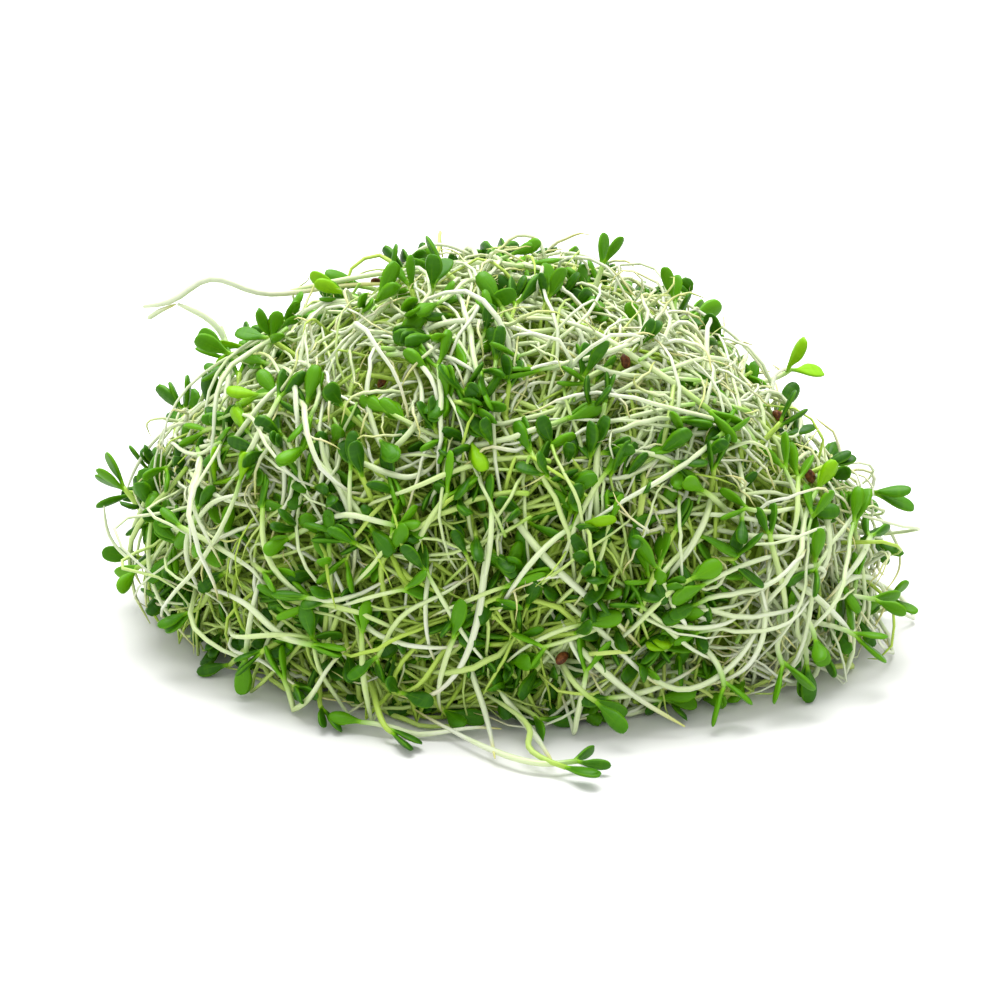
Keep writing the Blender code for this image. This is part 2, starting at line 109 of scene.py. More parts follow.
looseForm = {
    # how far across and up the view the leaves' middle is, which way they point, in degrees, how far
    # off the heap they are, and how far the sprout reaches
    "places": (
        (-15, 56, 105, 2, 24),
        (8, 55, 85, 2, 20),
        (17, 59, 75, 3, 26),
        (-9, 56, 65, 2, 20),
        (-28, 53, 165, 2, 24),
        (27, 54, 100, 2, 22),
        (-39, 47, 140, 2, 24),
        (-45, 42, 168, 4, 26),
        (-41, 27, 188, 1, 24),
        (-61, 24, 110, 3, 26),
        (-63, 19, 178, 2, 22),
        (-54, 15, 140, 1, 24),
        (-59, 6, 228, 3, 26),
        (-52, 0, 218, 1, 22),
        (-40, -6, 215, 2, 24),
        (-25, -15, 322, 2, 22),
        (-14, -18, 325, 2, 20),
        (13, -21, 348, 4, 30),
        (17, -13, 320, 3, 22),
        (35, -12, 282, 3, 26),
        (43, -9, 262, 3, 24),
        (48, -5, 275, 4, 26),
        (57, -3, 330, 4, 26),
        (62, 19, 340, 3, 24),
        (61, 4, 2, 4, 28),
        (47, 40, 36, 5, 28),
        (45, 34, 58, 3, 24),
        (54, 25, 20, 2, 22),
        (-23, 27, 112, 1, 26),
        (-27, 37, 132, 1, 22),
        (-6, 40, 100, 1, 24),
        (2, 41, 80, 1, 24),
        (14, 42, 70, 1, 22),
        (24, 46, 42, 1, 22),
        (33, 28, 98, 1, 24),
        (31, 23, 158, 1, 22),
        (-27, 13, 86, 1, 26),
        (-29, 5, 176, 1, 24),
        (3, 6, 22, 1, 24),
        (15, 0, 18, 1, 26),
        (-15, 15, 58, 1, 24),
        (40, 10, 350, 1, 22),
    ),
    "behind": 10,
    "behindAzimuths": (20, 160),
    "behindRises": (12, 62),
    "behindReach": (20, 26),
    "behindShare": 1.02,
    "behindLift": 0.4,        # how far up a pair behind points, beside the random way
    "tries": 400,
    "triesToEase": 40,        # after as many its place moves by easeShift, and its heading by twice swing
    "easeShift": 0.3,
    "lowest": 1.5,
    "lean": (0.1, 0.5),
    "swing": 0.3,
    "reachShares": (0.8, 1.1),
    "points": 9,
}
hullForm = {
    # how far across and up the view each hull is wanted
    "places": ((-27, 57), (-20, 40), (17, 44), (50, 32), (53, 22), (6, -7)),
    "length": 2.6,
    "width": 1.7,
    "thickness": 1.1,
    "stemsTried": 40,
    "tries": 12,
    "lean": 0.5,
    "balls": 5,
    "gapShare": 0.25,         # a hull's gap to its neighbours, as a share of the gap between other pieces
    "leastShare": 0.86,
}
# the ray that a point of the view looks along: half its length, its points, and the lowest that it may end
viewRay = {"half": 150, "points": 3001, "lowest": 2}

halfSizes = np.array(heap["halfSizes"], float)
tilt = math.radians(heap["viewTilt"])
viewAcross = np.array([1.0, 0.0, 0.0])
viewUp = np.array([0.0, math.sin(tilt), math.cos(tilt)])
viewAhead = np.array([0.0, math.cos(tilt), -math.sin(tilt)])


# Vectors and the heap's ellipsoid

def unit(v):  # v over its length
    return v / np.linalg.norm(v)


def units(v):  # each v over its length
    return v / np.maximum(np.linalg.norm(v, axis=-1, keepdims=True), 1e-9)


def shareOf(points):
    # How far out points lie: the length of the point divided by the half sizes, over 1 plus the swells.
    # A swell is height * exp((cos(angle) - 1) / width^2), with the angle measured where the ellipsoid
    # is a sphere.
    scaled = points / halfSizes
    length = np.linalg.norm(scaled, axis=-1)
    form = 1
    for towards, width, height in heap["swells"]:
        middle = unit(np.array(towards) / halfSizes)
        form = form + height * np.exp((scaled @ middle / length - 1) / width**2)
    return length / form


def heapPoint(direction, share):  # direction scaled so that it lies at the share
    return direction * share / shareOf(direction)


def normalAt(points):  # the ellipsoid's gradient, which is the point divided by the half sizes squared
    return units(points / halfSizes**2)


def alongSurface(vector, point):  # the vector less its part along the normal, over its length
    normal = normalAt(point)
    return unit(vector - normal * (vector @ normal))


def turned(vector, axis, angle):  # vector * cos(angle) + (axis x vector) * sin(angle)
    return vector * math.cos(angle) + np.cross(axis, vector) * math.sin(angle)


def seenPoint(across, upwards, off):
    # The first point of the view ray start + t * back that lies in the heap, moved off it along the
    # normal. Past its outline it takes the ray's point with the least share, and never one near the
    # floor or under it.
    start = viewAcross * across + viewUp * upwards
    back = -viewAhead
    ray = start + back * np.linspace(viewRay["half"], -viewRay["half"], viewRay["points"])[:, None]
    shares = shareOf(ray)
    point = ray[np.argmax(shares <= 1) if (shares <= 1).any() else np.argmin(shares)]
    if point[2] < viewRay["lowest"]:
        point = start - back * (start[2] - viewRay["lowest"]) / back[2]
    return point + normalAt(point) * off


def pairPlace(across, upwards, pointing, off):
    # Where a pair of leaves starts, half a leaf behind its middle, and which way it points in the view,
    # which is across * cos(pointing) + up * sin(pointing)
    angle = math.radians(pointing)
    half = sproutForm["leafLength"] / 2
    start = seenPoint(across - half * math.cos(angle), upwards - half * math.sin(angle), off)
    return start, viewAcross * math.cos(angle) + viewUp * math.sin(angle)


# The sprouts of the solids, drawn again

def strand(curve, count):
    # A cubic Bezier curve plus a sway of sin(2 pi turns t + phase) * 4 t (1 - t), held out of the core
    # and off the floor by the larger of what it is and what it may be
    p0, p1, p2, p3 = curve["ends"]
    t = np.linspace(0, 1, count)[:, None]
    path = (1 - t) ** 3 * p0 + 3 * (1 - t) ** 2 * t * p1 + 3 * (1 - t) * t**2 * p2 + t**3 * p3
    wave = np.sin(2 * math.pi * curve["turns"] * t + curve["phase"])
    path = path + curve["sway"] * wave * 4 * t * (1 - t)
    path = path * np.maximum(1, curve["leastShare"] / shareOf(path))[:, None]
    floor = sproutForm["stemRadius"] + heap["floorGap"]
    path[:, 2] = floor + np.maximum(path[:, 2] - floor, 0)
    return path


def leafPair(rng, base, direction, halfAngle, scale):
    # Two leaves that point along direction * cos(halfAngle) + or - apart * sin(halfAngle), raised where
    # the tip would reach the floor
    across = unit(np.cross(direction, rng.normal(size=3)))
    apart = np.cross(across, direction)
    leaves = []
    for side in (-1, 1):
        pointing = unit(direction * math.cos(halfAngle) + apart * side * math.sin(halfAngle))
        length = sproutForm["leafLength"] * scale * rng.uniform(*sproutForm["leafLengths"])
        leastRise = (sproutForm["leafThickness"] + heap["floorGap"] - base[2]) / length
        if pointing[2] < leastRise:
            pointing = unit(np.array([pointing[0], pointing[1], leastRise]))
        leaves.append(
            {
                "start": base - direction * sproutForm["leafSunk"] * (side > 0),
                "pointing": pointing,
                "across": unit(across - pointing * (across @ pointing)),
                "length": length,
                "width": sproutForm["leafWidth"] * scale * rng.uniform(*sproutForm["leafWidths"]),
                "curl": -side * rng.uniform(*sproutForm["leafCurls"]),
            }
        )
    return leaves


def sprout(rng, base, direction, heading, reach, rootShare, leastShare, count):
    # A stem that leaves its pair against direction, and ends at the share rootShare below base +
    # heading * reach
    root = base + heading * reach
    root[2] = abs(root[2])
    root = heapPoint(root, rootShare)
    span = np.linalg.norm(root - base)
    inwards = sproutForm["arrivesInwards"] * (leastShare == 0)
    arrive = unit(heading * sproutForm["arrivesAlong"] - normalAt(root) * inwards)
    ends = (
        base,
        base - direction * span * rng.uniform(*sproutForm["pullAtLeaves"]),
        root - arrive * span * rng.uniform(*sproutForm["pullAtRoot"]),
        root,
    )
    sway = rng.normal(size=3) * rng.uniform(*sproutForm["stemSways"])
    turns = rng.uniform(*sproutForm["stemTurns"])
    phase = rng.uniform(0, 2 * math.pi)
    curve = {"ends": ends, "sway": sway, "turns": turns, "phase": phase, "leastShare": leastShare}
    path = strand(curve, count)
    away = unit(path[0] - path[1])
    halfAngle = math.radians(rng.uniform(*sproutForm["leafHalfAngles"]))
    thickness = rng.uniform(*sproutForm["stemThicknesses"])
    leaves = leafPair(rng, path[0], away, halfAngle, rng.uniform(*sproutForm["leafSizes"]))
    return {"path": path, "curve": curve, "thickness": thickness, "leaves": leaves}


def chainOf(one):
    # Balls that cover a sprout, for keeping pieces clear of each other: their centres and radii
    path = one["path"]
    balls = sproutForm["stemBalls"]
    t = np.linspace(0, len(path) - 1, balls)
    centres = [np.stack([np.interp(t, np.arange(len(path)), path[:, k]) for k in range(3)], axis=1)]
    radii = [np.full(balls, sproutForm["stemRadius"] * one["thickness"])]
    for leaf in one["leaves"]:
        for part, size in sproutForm["leafBalls"]:
            centres.append((leaf["start"] + leaf["pointing"] * leaf["length"] * part)[None])
            radii.append(np.array([size * leaf["width"] / 2]))
    return np.concatenate(centres), np.concatenate(radii)


def isClear(chain, chains, gap):
    # True where the distance of every two centres, less their radii, is over gap
    if not chains:
        return True
    centres = np.concatenate([c for c, _ in chains])
    radii = np.concatenate([r for _, r in chains])
    apart = np.linalg.norm(chain[0][:, None] - centres[None], axis=2)
    return bool((apart - chain[1][:, None] - radii[None] > gap).all())


def bendsGently(path):  # True where each step's angle to the next is under the sharpest turn
    steps = units(np.diff(path, axis=0))
    return bool(((steps[1:] * steps[:-1]).sum(axis=1) > math.cos(math.radians(heap["sharpestTurn"]))).all())


def settleLoose(rng, chains, base, screen, reach):
    # A sprout with its leaves at base and its stem run back over the core. Its place and heading are
    # drawn again, further and further off, until it is clear of what is there.
    normal = normalAt(base)
    run = alongSurface(-screen, base)
    height = halfSizes[2]
    outOfCore = heap["coreShare"] + heap["coreLump"]
    restShare = outOfCore + (sproutForm["stemRadius"] + heap["clearGap"]) / height
    swing = looseForm["swing"]
    for attempt in range(looseForm["tries"]):
        ease = attempt / looseForm["triesToEase"]
        spot = base + rng.normal(size=3) * looseForm["easeShift"] * ease
        spot[2] = max(spot[2], looseForm["lowest"])
        direction = unit(screen + normal * rng.uniform(*looseForm["lean"]))
        heading = turned(run, normal, rng.uniform(-swing, swing) * (1 + ease))
        span = reach * rng.uniform(*looseForm["reachShares"])
        one = sprout(rng, spot, direction, heading, span, restShare, restShare, looseForm["points"])
        chain = chainOf(one)
        offCore = shareOf(chain[0]) - (chain[1] + heap["clearGap"]) / height > outOfCore
        if offCore.all() and bendsGently(one["path"]) and isClear(chain, chains, heap["clearGap"]):
            chains.append(chain)
            return one
    raise RuntimeError("no clear place for a loose sprout")


def placeLoose(rng, chains):
    # The sprouts at the given places, then those behind, whose azimuths go by even steps and whose rises go
    # by the golden ratio's remainders
    placed = []
    for across, upwards, pointing, off, reach in looseForm["places"]:
        base, screen = pairPlace(across, upwards, pointing, off)
        placed.append(settleLoose(rng, chains, base, screen, reach))
    golden = (math.sqrt(5) - 1) / 2
    for number in range(looseForm["behind"]):
        share = (number + 0.5) / looseForm["behind"]
        azimuth = math.radians(np.interp(share, (0, 1), looseForm["behindAzimuths"]))
        rise = math.radians(np.interp(number * golden % 1, (0, 1), looseForm["behindRises"]))
        flat = math.cos(rise)
        outward = np.array([math.cos(azimuth) * flat, math.sin(azimuth) * flat, math.sin(rise)])
        base = heapPoint(outward, looseForm["behindShare"])
        pointing = alongSurface(rng.normal(size=3) + up * looseForm["behindLift"], base)
        placed.append(settleLoose(rng, chains, base, pointing, rng.uniform(*looseForm["behindReach"])))
    return placed


def spreadDirections(count):
    # Evenly over the upper half: the rise goes up by equal steps and the azimuth by the golden angle
    k = np.arange(count) + 0.5
    rise = k / count
    azimuth = k * math.pi * (3 - math.sqrt(5))
    flat = np.sqrt(1 - rise**2)
    return np.stack([flat * np.cos(azimuth), flat * np.sin(azimuth), rise], axis=1)


def outsideCore(chain):  # the balls that lie past the core's lumps
    outside = shareOf(chain[0]) > heap["coreShare"] + heap["coreLump"]
    return chain[0][outside], chain[1][outside]


def growFused(rng, chains):
    # Sprouts that arch out of the core at evenly spread places. Each is drawn until one is clear of the
    # others, and left out where none is.
    grown = []
    swing = fusedForm["swing"]
    for outward in spreadDirections(fusedForm["sprouts"]):
        for _ in range(fusedForm["tries"]):
            spot = unit(outward + rng.normal(size=3) * fusedForm["shift"])
            spot[2] = max(abs(spot[2]), fusedForm["leastRise"])
            base = heapPoint(spot, rng.uniform(*fusedForm["shares"]))
            normal = normalAt(base)
            side = alongSurface(rng.normal(size=3), base)
            direction = unit(side + normal * rng.uniform(*fusedForm["lean"]))
            heading = turned(-side, normal, rng.uniform(-swing, swing))
            reach = rng.uniform(*fusedForm["reach"])
            one = sprout(rng, base, direction, heading, reach, heap["rootedShare"], 0, fusedForm["points"])
            chain = outsideCore(chainOf(one))
            if bendsGently(one["path"]) and isClear(chain, chains, heap["clearGap"]):
                chains.append(chain)
                grown.append(one)
                break
    return grown


def growLoops(rng, chains):
    # Bare stems that leave the core and come back to it: a Bezier curve over its top point, with both
    # ends rooted
    loops = []
    for outward in spreadDirections(fusedForm["loops"]):
        for _ in range(fusedForm["tries"]):
            middle = unit(outward + rng.normal(size=3) * fusedForm["loopShift"])
            middle[2] = abs(middle[2]) + fusedForm["loopLeastRise"]
            side = alongSurface(rng.normal(size=3), middle)
            half = rng.uniform(*fusedForm["loopHalfSpans"])
            top = heapPoint(middle, rng.uniform(*fusedForm["loopShares"]))
            ends = [heapPoint(top + side * half * s, heap["rootedShare"]) for s in (-1, 1)]
            lift = (top - (ends[0] + ends[1]) / 2) * fusedForm["loopLift"]
            sideSway = side * rng.uniform(-fusedForm["loopSideSway"], fusedForm["loopSideSway"])
            sway = sideSway + rng.normal(size=3) * fusedForm["loopSway"]
            curve = {
                "ends": (ends[0], ends[0] + lift, ends[1] + lift, ends[1]),
                "sway": sway,
                "turns": rng.uniform(*fusedForm["loopTurns"]),
                "phase": rng.uniform(0, 2 * math.pi),
                "leastShare": 0,
            }
            path = strand(curve, fusedForm["loopPoints"])
            thickness = rng.uniform(*fusedForm["loopThicknesses"])
            one = {"path": path, "curve": curve, "thickness": thickness, "leaves": []}
            chain = outsideCore(chainOf(one))
            if bendsGently(path) and isClear(chain, chains, heap["clearGap"]):
                chains.append(chain)
                loops.append(one)
                break
    return loops


def settleHull(rng, chains, stems):
    # A hull against the first stem that has room for one, out from the stem's middle by standOff
    thickness = hullForm["thickness"]
    balls = hullForm["balls"]
    gap = heap["clearGap"] * hullForm["gapShare"]
    thickest = sproutForm["stemThicknesses"][1] * sproutForm["stemRadius"]
    standOff = thickest + heap["clearGap"] / 2 + thickness / 2
    for stem in stems:
        for _ in range(hullForm["tries"]):
            outward = unit(normalAt(stem) + rng.normal(size=3) * hullForm["lean"])
            centre = stem + outward * standOff
            longWay = unit(np.cross(outward, rng.normal(size=3)))
            steps = np.linspace(-0.5, 0.5, balls)[:, None] * (hullForm["length"] - thickness)
            chain = (centre + longWay * steps, np.full(balls, thickness / 2))
            if isClear(chain, chains, gap) and shareOf(centre) > hullForm["leastShare"]:
                chains.append(chain)
                return {"centre": centre, "longWay": longWay, "outward": outward}
    raise RuntimeError("no clear place for a seed hull")


def layHulls(rng, chains, carriers):  # each hull goes to the nearest stem with room for it
    stems = np.concatenate([one["path"][1:-1] for one in carriers])
    hulls = []
    for across, upwards in hullForm["places"]:
        wanted = seenPoint(across, upwards, 0)
        order = np.argsort(np.linalg.norm(stems - wanted, axis=1))
        hulls.append(settleHull(rng, chains, stems[order[:hullForm["stemsTried"]]]))
    return hulls


rng = np.random.default_rng(heap["seed"])
chains = []
looseSprouts = placeLoose(rng, chains)
fusedSprouts = growFused(rng, chains)
fusedLoops = growLoops(rng, chains)
seedHulls = layHulls(rng, chains, fusedSprouts + looseSprouts)
print("drawn again:", len(looseSprouts), "loose,", len(fusedSprouts), "fused,", len(fusedLoops), "loops")


# More sprouts, grown in the heap's outer layer

fillForm = {
    "points": 13,
    "baseShare": 0.86,        # how far out they reach at the floor
    "baseHeight": 24,         # above this they reach the surface
    "lumps": 0.025,
    "hullGap": 1.7,
    "bare": 0.2,              # the share of sprouts that have lost their leaves, outside the pale places
    "rootShare": 0.05,        # the share of roots that stay far from every rooty place
    "least": (-69, -65, 0.3),    # nothing reaches past these two corners
    "most": (70.5, 56, 68.2),
    "seed": 77,
}
# Each kind: how many bundles, how many strands in one, the shares of the heap's size between which its
# strands start and how far they sink, how steeply they first head into the heap, their length, their
# turning in radians a millimetre, how far their start points and headings differ within a bundle, the
# spread of their headings about downhill, in degrees, and how far their points are moved at random
fillKinds = {
    "sprouts": {
        "bundles": 400, "each": 3, "shares": (0.93, 1.05), "sink": 0.16, "inward": (0.0, 0.9),
        "lengths": (18, 40), "winding": 0.028, "apart": 3.2, "fan": 0.36, "spread": 62, "kinks": 0.12,
    },
    "stems": {
        "bundles": 220, "each": 3, "shares": (0.87, 0.98), "sink": 0.07, "inward": (-0.3, 0.4),
        "lengths": (22, 48), "winding": 0.024, "apart": 2.2, "fan": 0.3, "spread": 75, "kinks": 0.14,
    },
    "deepStems": {
        "bundles": 280, "each": 3, "shares": (0.83, 0.92), "sink": 0.05, "inward": (-0.3, 0.4),
        "lengths": (18, 38), "winding": 0.04, "apart": 3.0, "fan": 0.5, "spread": 90, "kinks": 0.2,
    },
    "roots": {
        "bundles": 1300, "each": 3, "shares": (0.92, 1.02), "sink": 0.05, "inward": (-0.3, 0.3),
        "lengths": (8, 20), "winding": 0.09, "apart": 2.0, "fan": 0.8, "spread": 90, "kinks": 0.1,
    },
}
# places of the view that show few leaves: across, up, radius, and the share of leaves that are left out
palePlaces = (
    (30, 43, 18, 0.85),
    (30, 25, 9, 0.6),
    (-30, 40, 14, 0.5),
    (-42, 48, 10, 0.6),
    (-42, 30, 9, 0.6),
    (-20, 54, 11, 0.75),
    (-8, 57, 8, 0.6),
    (-53, 35, 10, 0.6),
    (-7, 3, 9, 0.6),
    (21, -10, 9, 0.5),
    (42, 3, 9, 0.85),
    (8, 33, 10, 0.6),
    (-42, 5, 8, 0.7),
)
# places of the view where the strands are more shaded than elsewhere, or less: across, up, radius, how
# much
shadedPlaces = (
    (-3, 24, 9, 0.35),
    (13, 15, 9, 0.45),
    (-17, -3, 11, 0.35),
    (-17, 15, 9, 0.25),
    (3, 2, 10, 0.3),
    (27, 7, 9, 0.3),
    (30, 27, 10, -0.35),
    (-37, 15, 9, -0.3),
    (48, 2, 14, -0.35),
    (24, -9, 14, -0.5),
    (-22, 54, 11, -0.5),
    (32, 52, 12, -0.5),
    (-53, 35, 11, -0.35),
)
# places that are thick with fine pale roots: across, up, radius
rootyPlaces = ((30, 44, 17), (4, 58, 10), (58, 18, 11), (52, 8, 10), (-24, 40, 8), (-48, 24, 7))
# how strongly a growing strand is held at its depth and kept from pointing outwards, and how it turns
# off the floor: the lowest that it runs, how much of its fall becomes a rise, and the lowest that a
# start or a kink is
wanderForm = {
    "pull": 2.4,
    "flatten": 0.16,
    "lowest": 0.9,
    "bounce": 0.3,
    "startLowest": 1.0,
    "kinkLowest": 0.7,
}
# what a bundle shares and what each strand adds to it
bundleForm = {
    "leastRise": 0.01,
    "risePower": 1.12,        # over 1 starts more bundles low on the heap
    "downhillNoise": 0.12,
    "waving": 1.5,            # the sine's strength beside that of the steady turning
    "paces": (0.3, 0.9),      # radians of the sine for each step
    "sharedShare": 0.6,       # how much of a strand's place between the shares is its bundle's
    "sharePower": 0.8,
    "ownLengths": (0.8, 1.15),
    "ownWinding": 0.4,
    "sinkPower": 1.3,
}
# the leaves of the grown sprouts
fillLeaves = {
    "halfAngles": (5, 46),
    "sizes": (0.8, 1.14),
    "lengths": (0.82, 1.06),
    "widths": (0.8, 1.08),
    "curls": (0.0, 0.3),
    "sunk": 0.5,              # how far back along the stem the second leaf starts
    "lowest": 1.4,            # the lowest that a leaf's tip may be
}


def outerShare(points):
    # 1 on the whole, drawn in towards the floor by a smooth step, with lumps of sin(4x + 3z + 1) cos(5y
    # - 2x)
    rise = np.clip(points[:, 2] / fillForm["baseHeight"], 0, 1)
    rise = rise**2 * (3 - 2 * rise)
    share = fillForm["baseShare"] + (1 - fillForm["baseShare"]) * rise
    x, y, z = (points / halfSizes).T
    return share + fillForm["lumps"] * np.sin(4 * x + 3 * z + 1) * np.cos(5 * y - 2 * x)


def wander(start, heading, steady, waving, phase, pace, lengths, depth, points):
    # Steps along a heading that turns about two axes, one steadily and one as a sine, and that is drawn
    # towards the share of the heap that depth gives for each step
    step = (lengths / (points - 1))[:, None]
    paths = np.empty((len(start), points, 3))
    place = start.copy()
    for k in range(points):
        paths[:, k] = place
        turning = steady + waving * np.sin(phase + pace * k)
        normal = normalAt(place)
        off = (shareOf(place) - depth[:, k])[:, None]
        outward = (heading * normal).sum(axis=1, keepdims=True)
        inwards = off * wanderForm["pull"] + outward * wanderForm["flatten"]
        heading = units(heading + np.cross(turning, heading) * step - normal * inwards)
        place = place + heading * step
        low = place[:, 2] < wanderForm["lowest"]
        place[low, 2] = wanderForm["lowest"]
        heading[low, 2] = np.abs(heading[low, 2]) * wanderForm["bounce"]
    return paths


def crooked(rng, paths, amount):  # each point but the first two moves at random, for kinks
    move = rng.normal(size=paths.shape) * amount
    move[:, :2] = 0
    moved = paths + move
    moved[..., 2] = np.maximum(moved[..., 2], wanderForm["kinkLowest"])
    return moved


def growKind(rng, kind):
    # Bundles start over the heap at azimuth and rise, and the strands of a bundle share a heading,
    # which is downhill * cos(turn) + around * sin(turn), and a way of turning. A strand sinks by sink *
    # t^sinkPower.
    bundles = kind["bundles"]
    each = kind["each"]
    points = fillForm["points"]
    rise = rng.uniform(bundleForm["leastRise"], 1, bundles) ** bundleForm["risePower"]
    azimuth = rng.uniform(0, 2 * math.pi, bundles)
    flat = np.sqrt(1 - rise**2)
    directions = np.stack([flat * np.cos(azimuth), flat * np.sin(azimuth), rise], axis=1)
    low, high = kind["shares"]
    middles = directions / shareOf(directions)[:, None]
    outward = normalAt(middles)
    downhill = -up - outward * (-up * outward).sum(axis=1, keepdims=True)
    downhill = units(downhill + rng.normal(size=(bundles, 3)) * bundleForm["downhillNoise"])
    around = np.cross(downhill, outward)
    turn = np.radians(rng.normal(size=(bundles, 1)) * kind["spread"])
    turn = turn + math.pi * rng.integers(0, 2, (bundles, 1))
    headings = downhill * np.cos(turn) + around * np.sin(turn)
    wide = {
        "middle": middles,
        "heading": headings,
        "steady": rng.normal(size=(bundles, 3)) * kind["winding"],
        "waving": rng.normal(size=(bundles, 3)) * kind["winding"] * bundleForm["waving"],
        "phase": rng.uniform(0, 2 * math.pi, (bundles, 1)),
        "pace": rng.uniform(*bundleForm["paces"], (bundles, 1)),
        "share": rng.uniform(0, 1, (bundles, 1)),
        "length": rng.uniform(*kind["lengths"], (bundles, 1)),
    }
    many = {key: value.repeat(each, axis=0) for key, value in wide.items()}
    count = bundles * each
    start = many["middle"] + rng.normal(size=(count, 3)) * kind["apart"]
    start = start / shareOf(start)[:, None]
    start[:, 2] = np.maximum(start[:, 2], wanderForm["startLowest"])
    shared = bundleForm["sharedShare"]
    share = many["share"][:, 0] * shared + rng.uniform(0, 1 - shared, count)
    share = (low + (high - low) * share ** bundleForm["sharePower"]) * outerShare(start)
    start = start * (share / shareOf(start))[:, None]
    start[:, 2] = np.maximum(start[:, 2], wanderForm["startLowest"])
    normal = normalAt(start)
    heading = many["heading"] + rng.normal(size=(count, 3)) * kind["fan"]
    inwards = (heading * normal).sum(axis=1, keepdims=True) + rng.uniform(*kind["inward"], (count, 1))
    heading = units(heading - normal * inwards)
    lengths = many["length"][:, 0] * rng.uniform(*bundleForm["ownLengths"], count)
    t = np.linspace(0, 1, points)[None]
    depth = shareOf(start)[:, None] - kind["sink"] * t ** bundleForm["sinkPower"]
    steady = many["steady"] + rng.normal(size=(count, 3)) * kind["winding"] * bundleForm["ownWinding"]
    waving = many["waving"]
    phase = many["phase"]
    paths = wander(start, heading, steady, waving, phase, many["pace"], lengths, depth, points)
    return crooked(rng, paths, kind["kinks"])


def seenFrom(points):  # across and up the view, and whether the point is on the side that the view shows
    front = ((points / halfSizes**2) @ viewAhead) < 0
    return points @ viewAcross, points @ viewUp, front


def keptLeaves(rng, paths):
    # True for the sprouts whose leaves stay: fewer do in the pale places of the view
    across, upwards, front = seenFrom(paths[:, 0])
    drop = np.full(len(paths), fillForm["bare"])
    for x, y, radius, share in palePlaces:
        near = np.hypot(across - x, upwards - y) < radius
        drop = np.where(near & front, share, drop)
    return rng.uniform(size=len(paths)) > drop


def inRootyPlaces(rng, paths):
    # The share of roots that stay falls as exp(-(distance / radius)^2 / 2) from each rooty place, and
    # never below rootShare
    across, upwards, _ = seenFrom(paths[:, paths.shape[1] // 2])
    chance = np.full(len(paths), fillForm["rootShare"])
    for x, y, radius in rootyPlaces:
        far = np.hypot(across - x, upwards - y) / radius
        chance = np.maximum(chance, np.exp(-(far**2) / 2))
    return rng.uniform(size=len(paths)) < chance


def inBounds(points):  # True for the points inside the box from least to most
    return ((points > fillForm["least"]) & (points < fillForm["most"])).all(axis=-1)


def clearOfHulls(paths):  # True for the strands that don't cross a seed hull as the view shows it
    clear = np.ones(len(paths), bool)
    for hull in seedHulls:
        away = paths - hull["centre"]
        seen = np.hypot(away @ viewAcross, away @ viewUp)
        clear &= ~((seen < fillForm["hullGap"]) & (away @ viewAhead < 1)).any(axis=1)
    return clear


def leavesFor(rng, paths):
    # For every path, a pair that carries on from its first point, as the drawn sprouts have: two leaves
    # that point along direction * cos(halfAngle) + or - apart * sin(halfAngle)
    count = len(paths)
    base = paths[:, 0]
    direction = units(paths[:, 0] - paths[:, 1])
    across = units(np.cross(direction, rng.normal(size=(count, 3))))
    apart = np.cross(across, direction)
    halfAngle = np.radians(rng.uniform(*fillLeaves["halfAngles"], count))[:, None]
    scale = rng.uniform(*fillLeaves["sizes"], count)
    pair = []
    for side in (-1, 1):
        pointing = units(direction * np.cos(halfAngle) + apart * side * np.sin(halfAngle))
        length = sproutForm["leafLength"] * scale * rng.uniform(*fillLeaves["lengths"], count)
        low = (fillLeaves["lowest"] - base[:, 2]) / length
        pointing[:, 2] = np.maximum(pointing[:, 2], low)
        pointing = units(pointing)
        pair.append(
            {
                "start": base - direction * fillLeaves["sunk"] * (side > 0),
                "pointing": pointing,
                "across": units(across - pointing * (across * pointing).sum(axis=1, keepdims=True)),
                "length": length,
                "width": sproutForm["leafWidth"] * scale * rng.uniform(*fillLeaves["widths"], count),
                "curl": -side * rng.uniform(*fillLeaves["curls"], count),
            }
        )
    return pair


fillRng = np.random.default_rng(fillForm["seed"])
grown = {name: growKind(fillRng, kind) for name, kind in fillKinds.items()}
grown["roots"] = grown["roots"][inRootyPlaces(fillRng, grown["roots"])]
for name, paths in grown.items():
    grown[name] = paths[clearOfHulls(paths) & inBounds(paths).all(axis=1)]
print("grown:", {name: len(paths) for name, paths in grown.items()})


# Strands and leaves that stand out in the front view

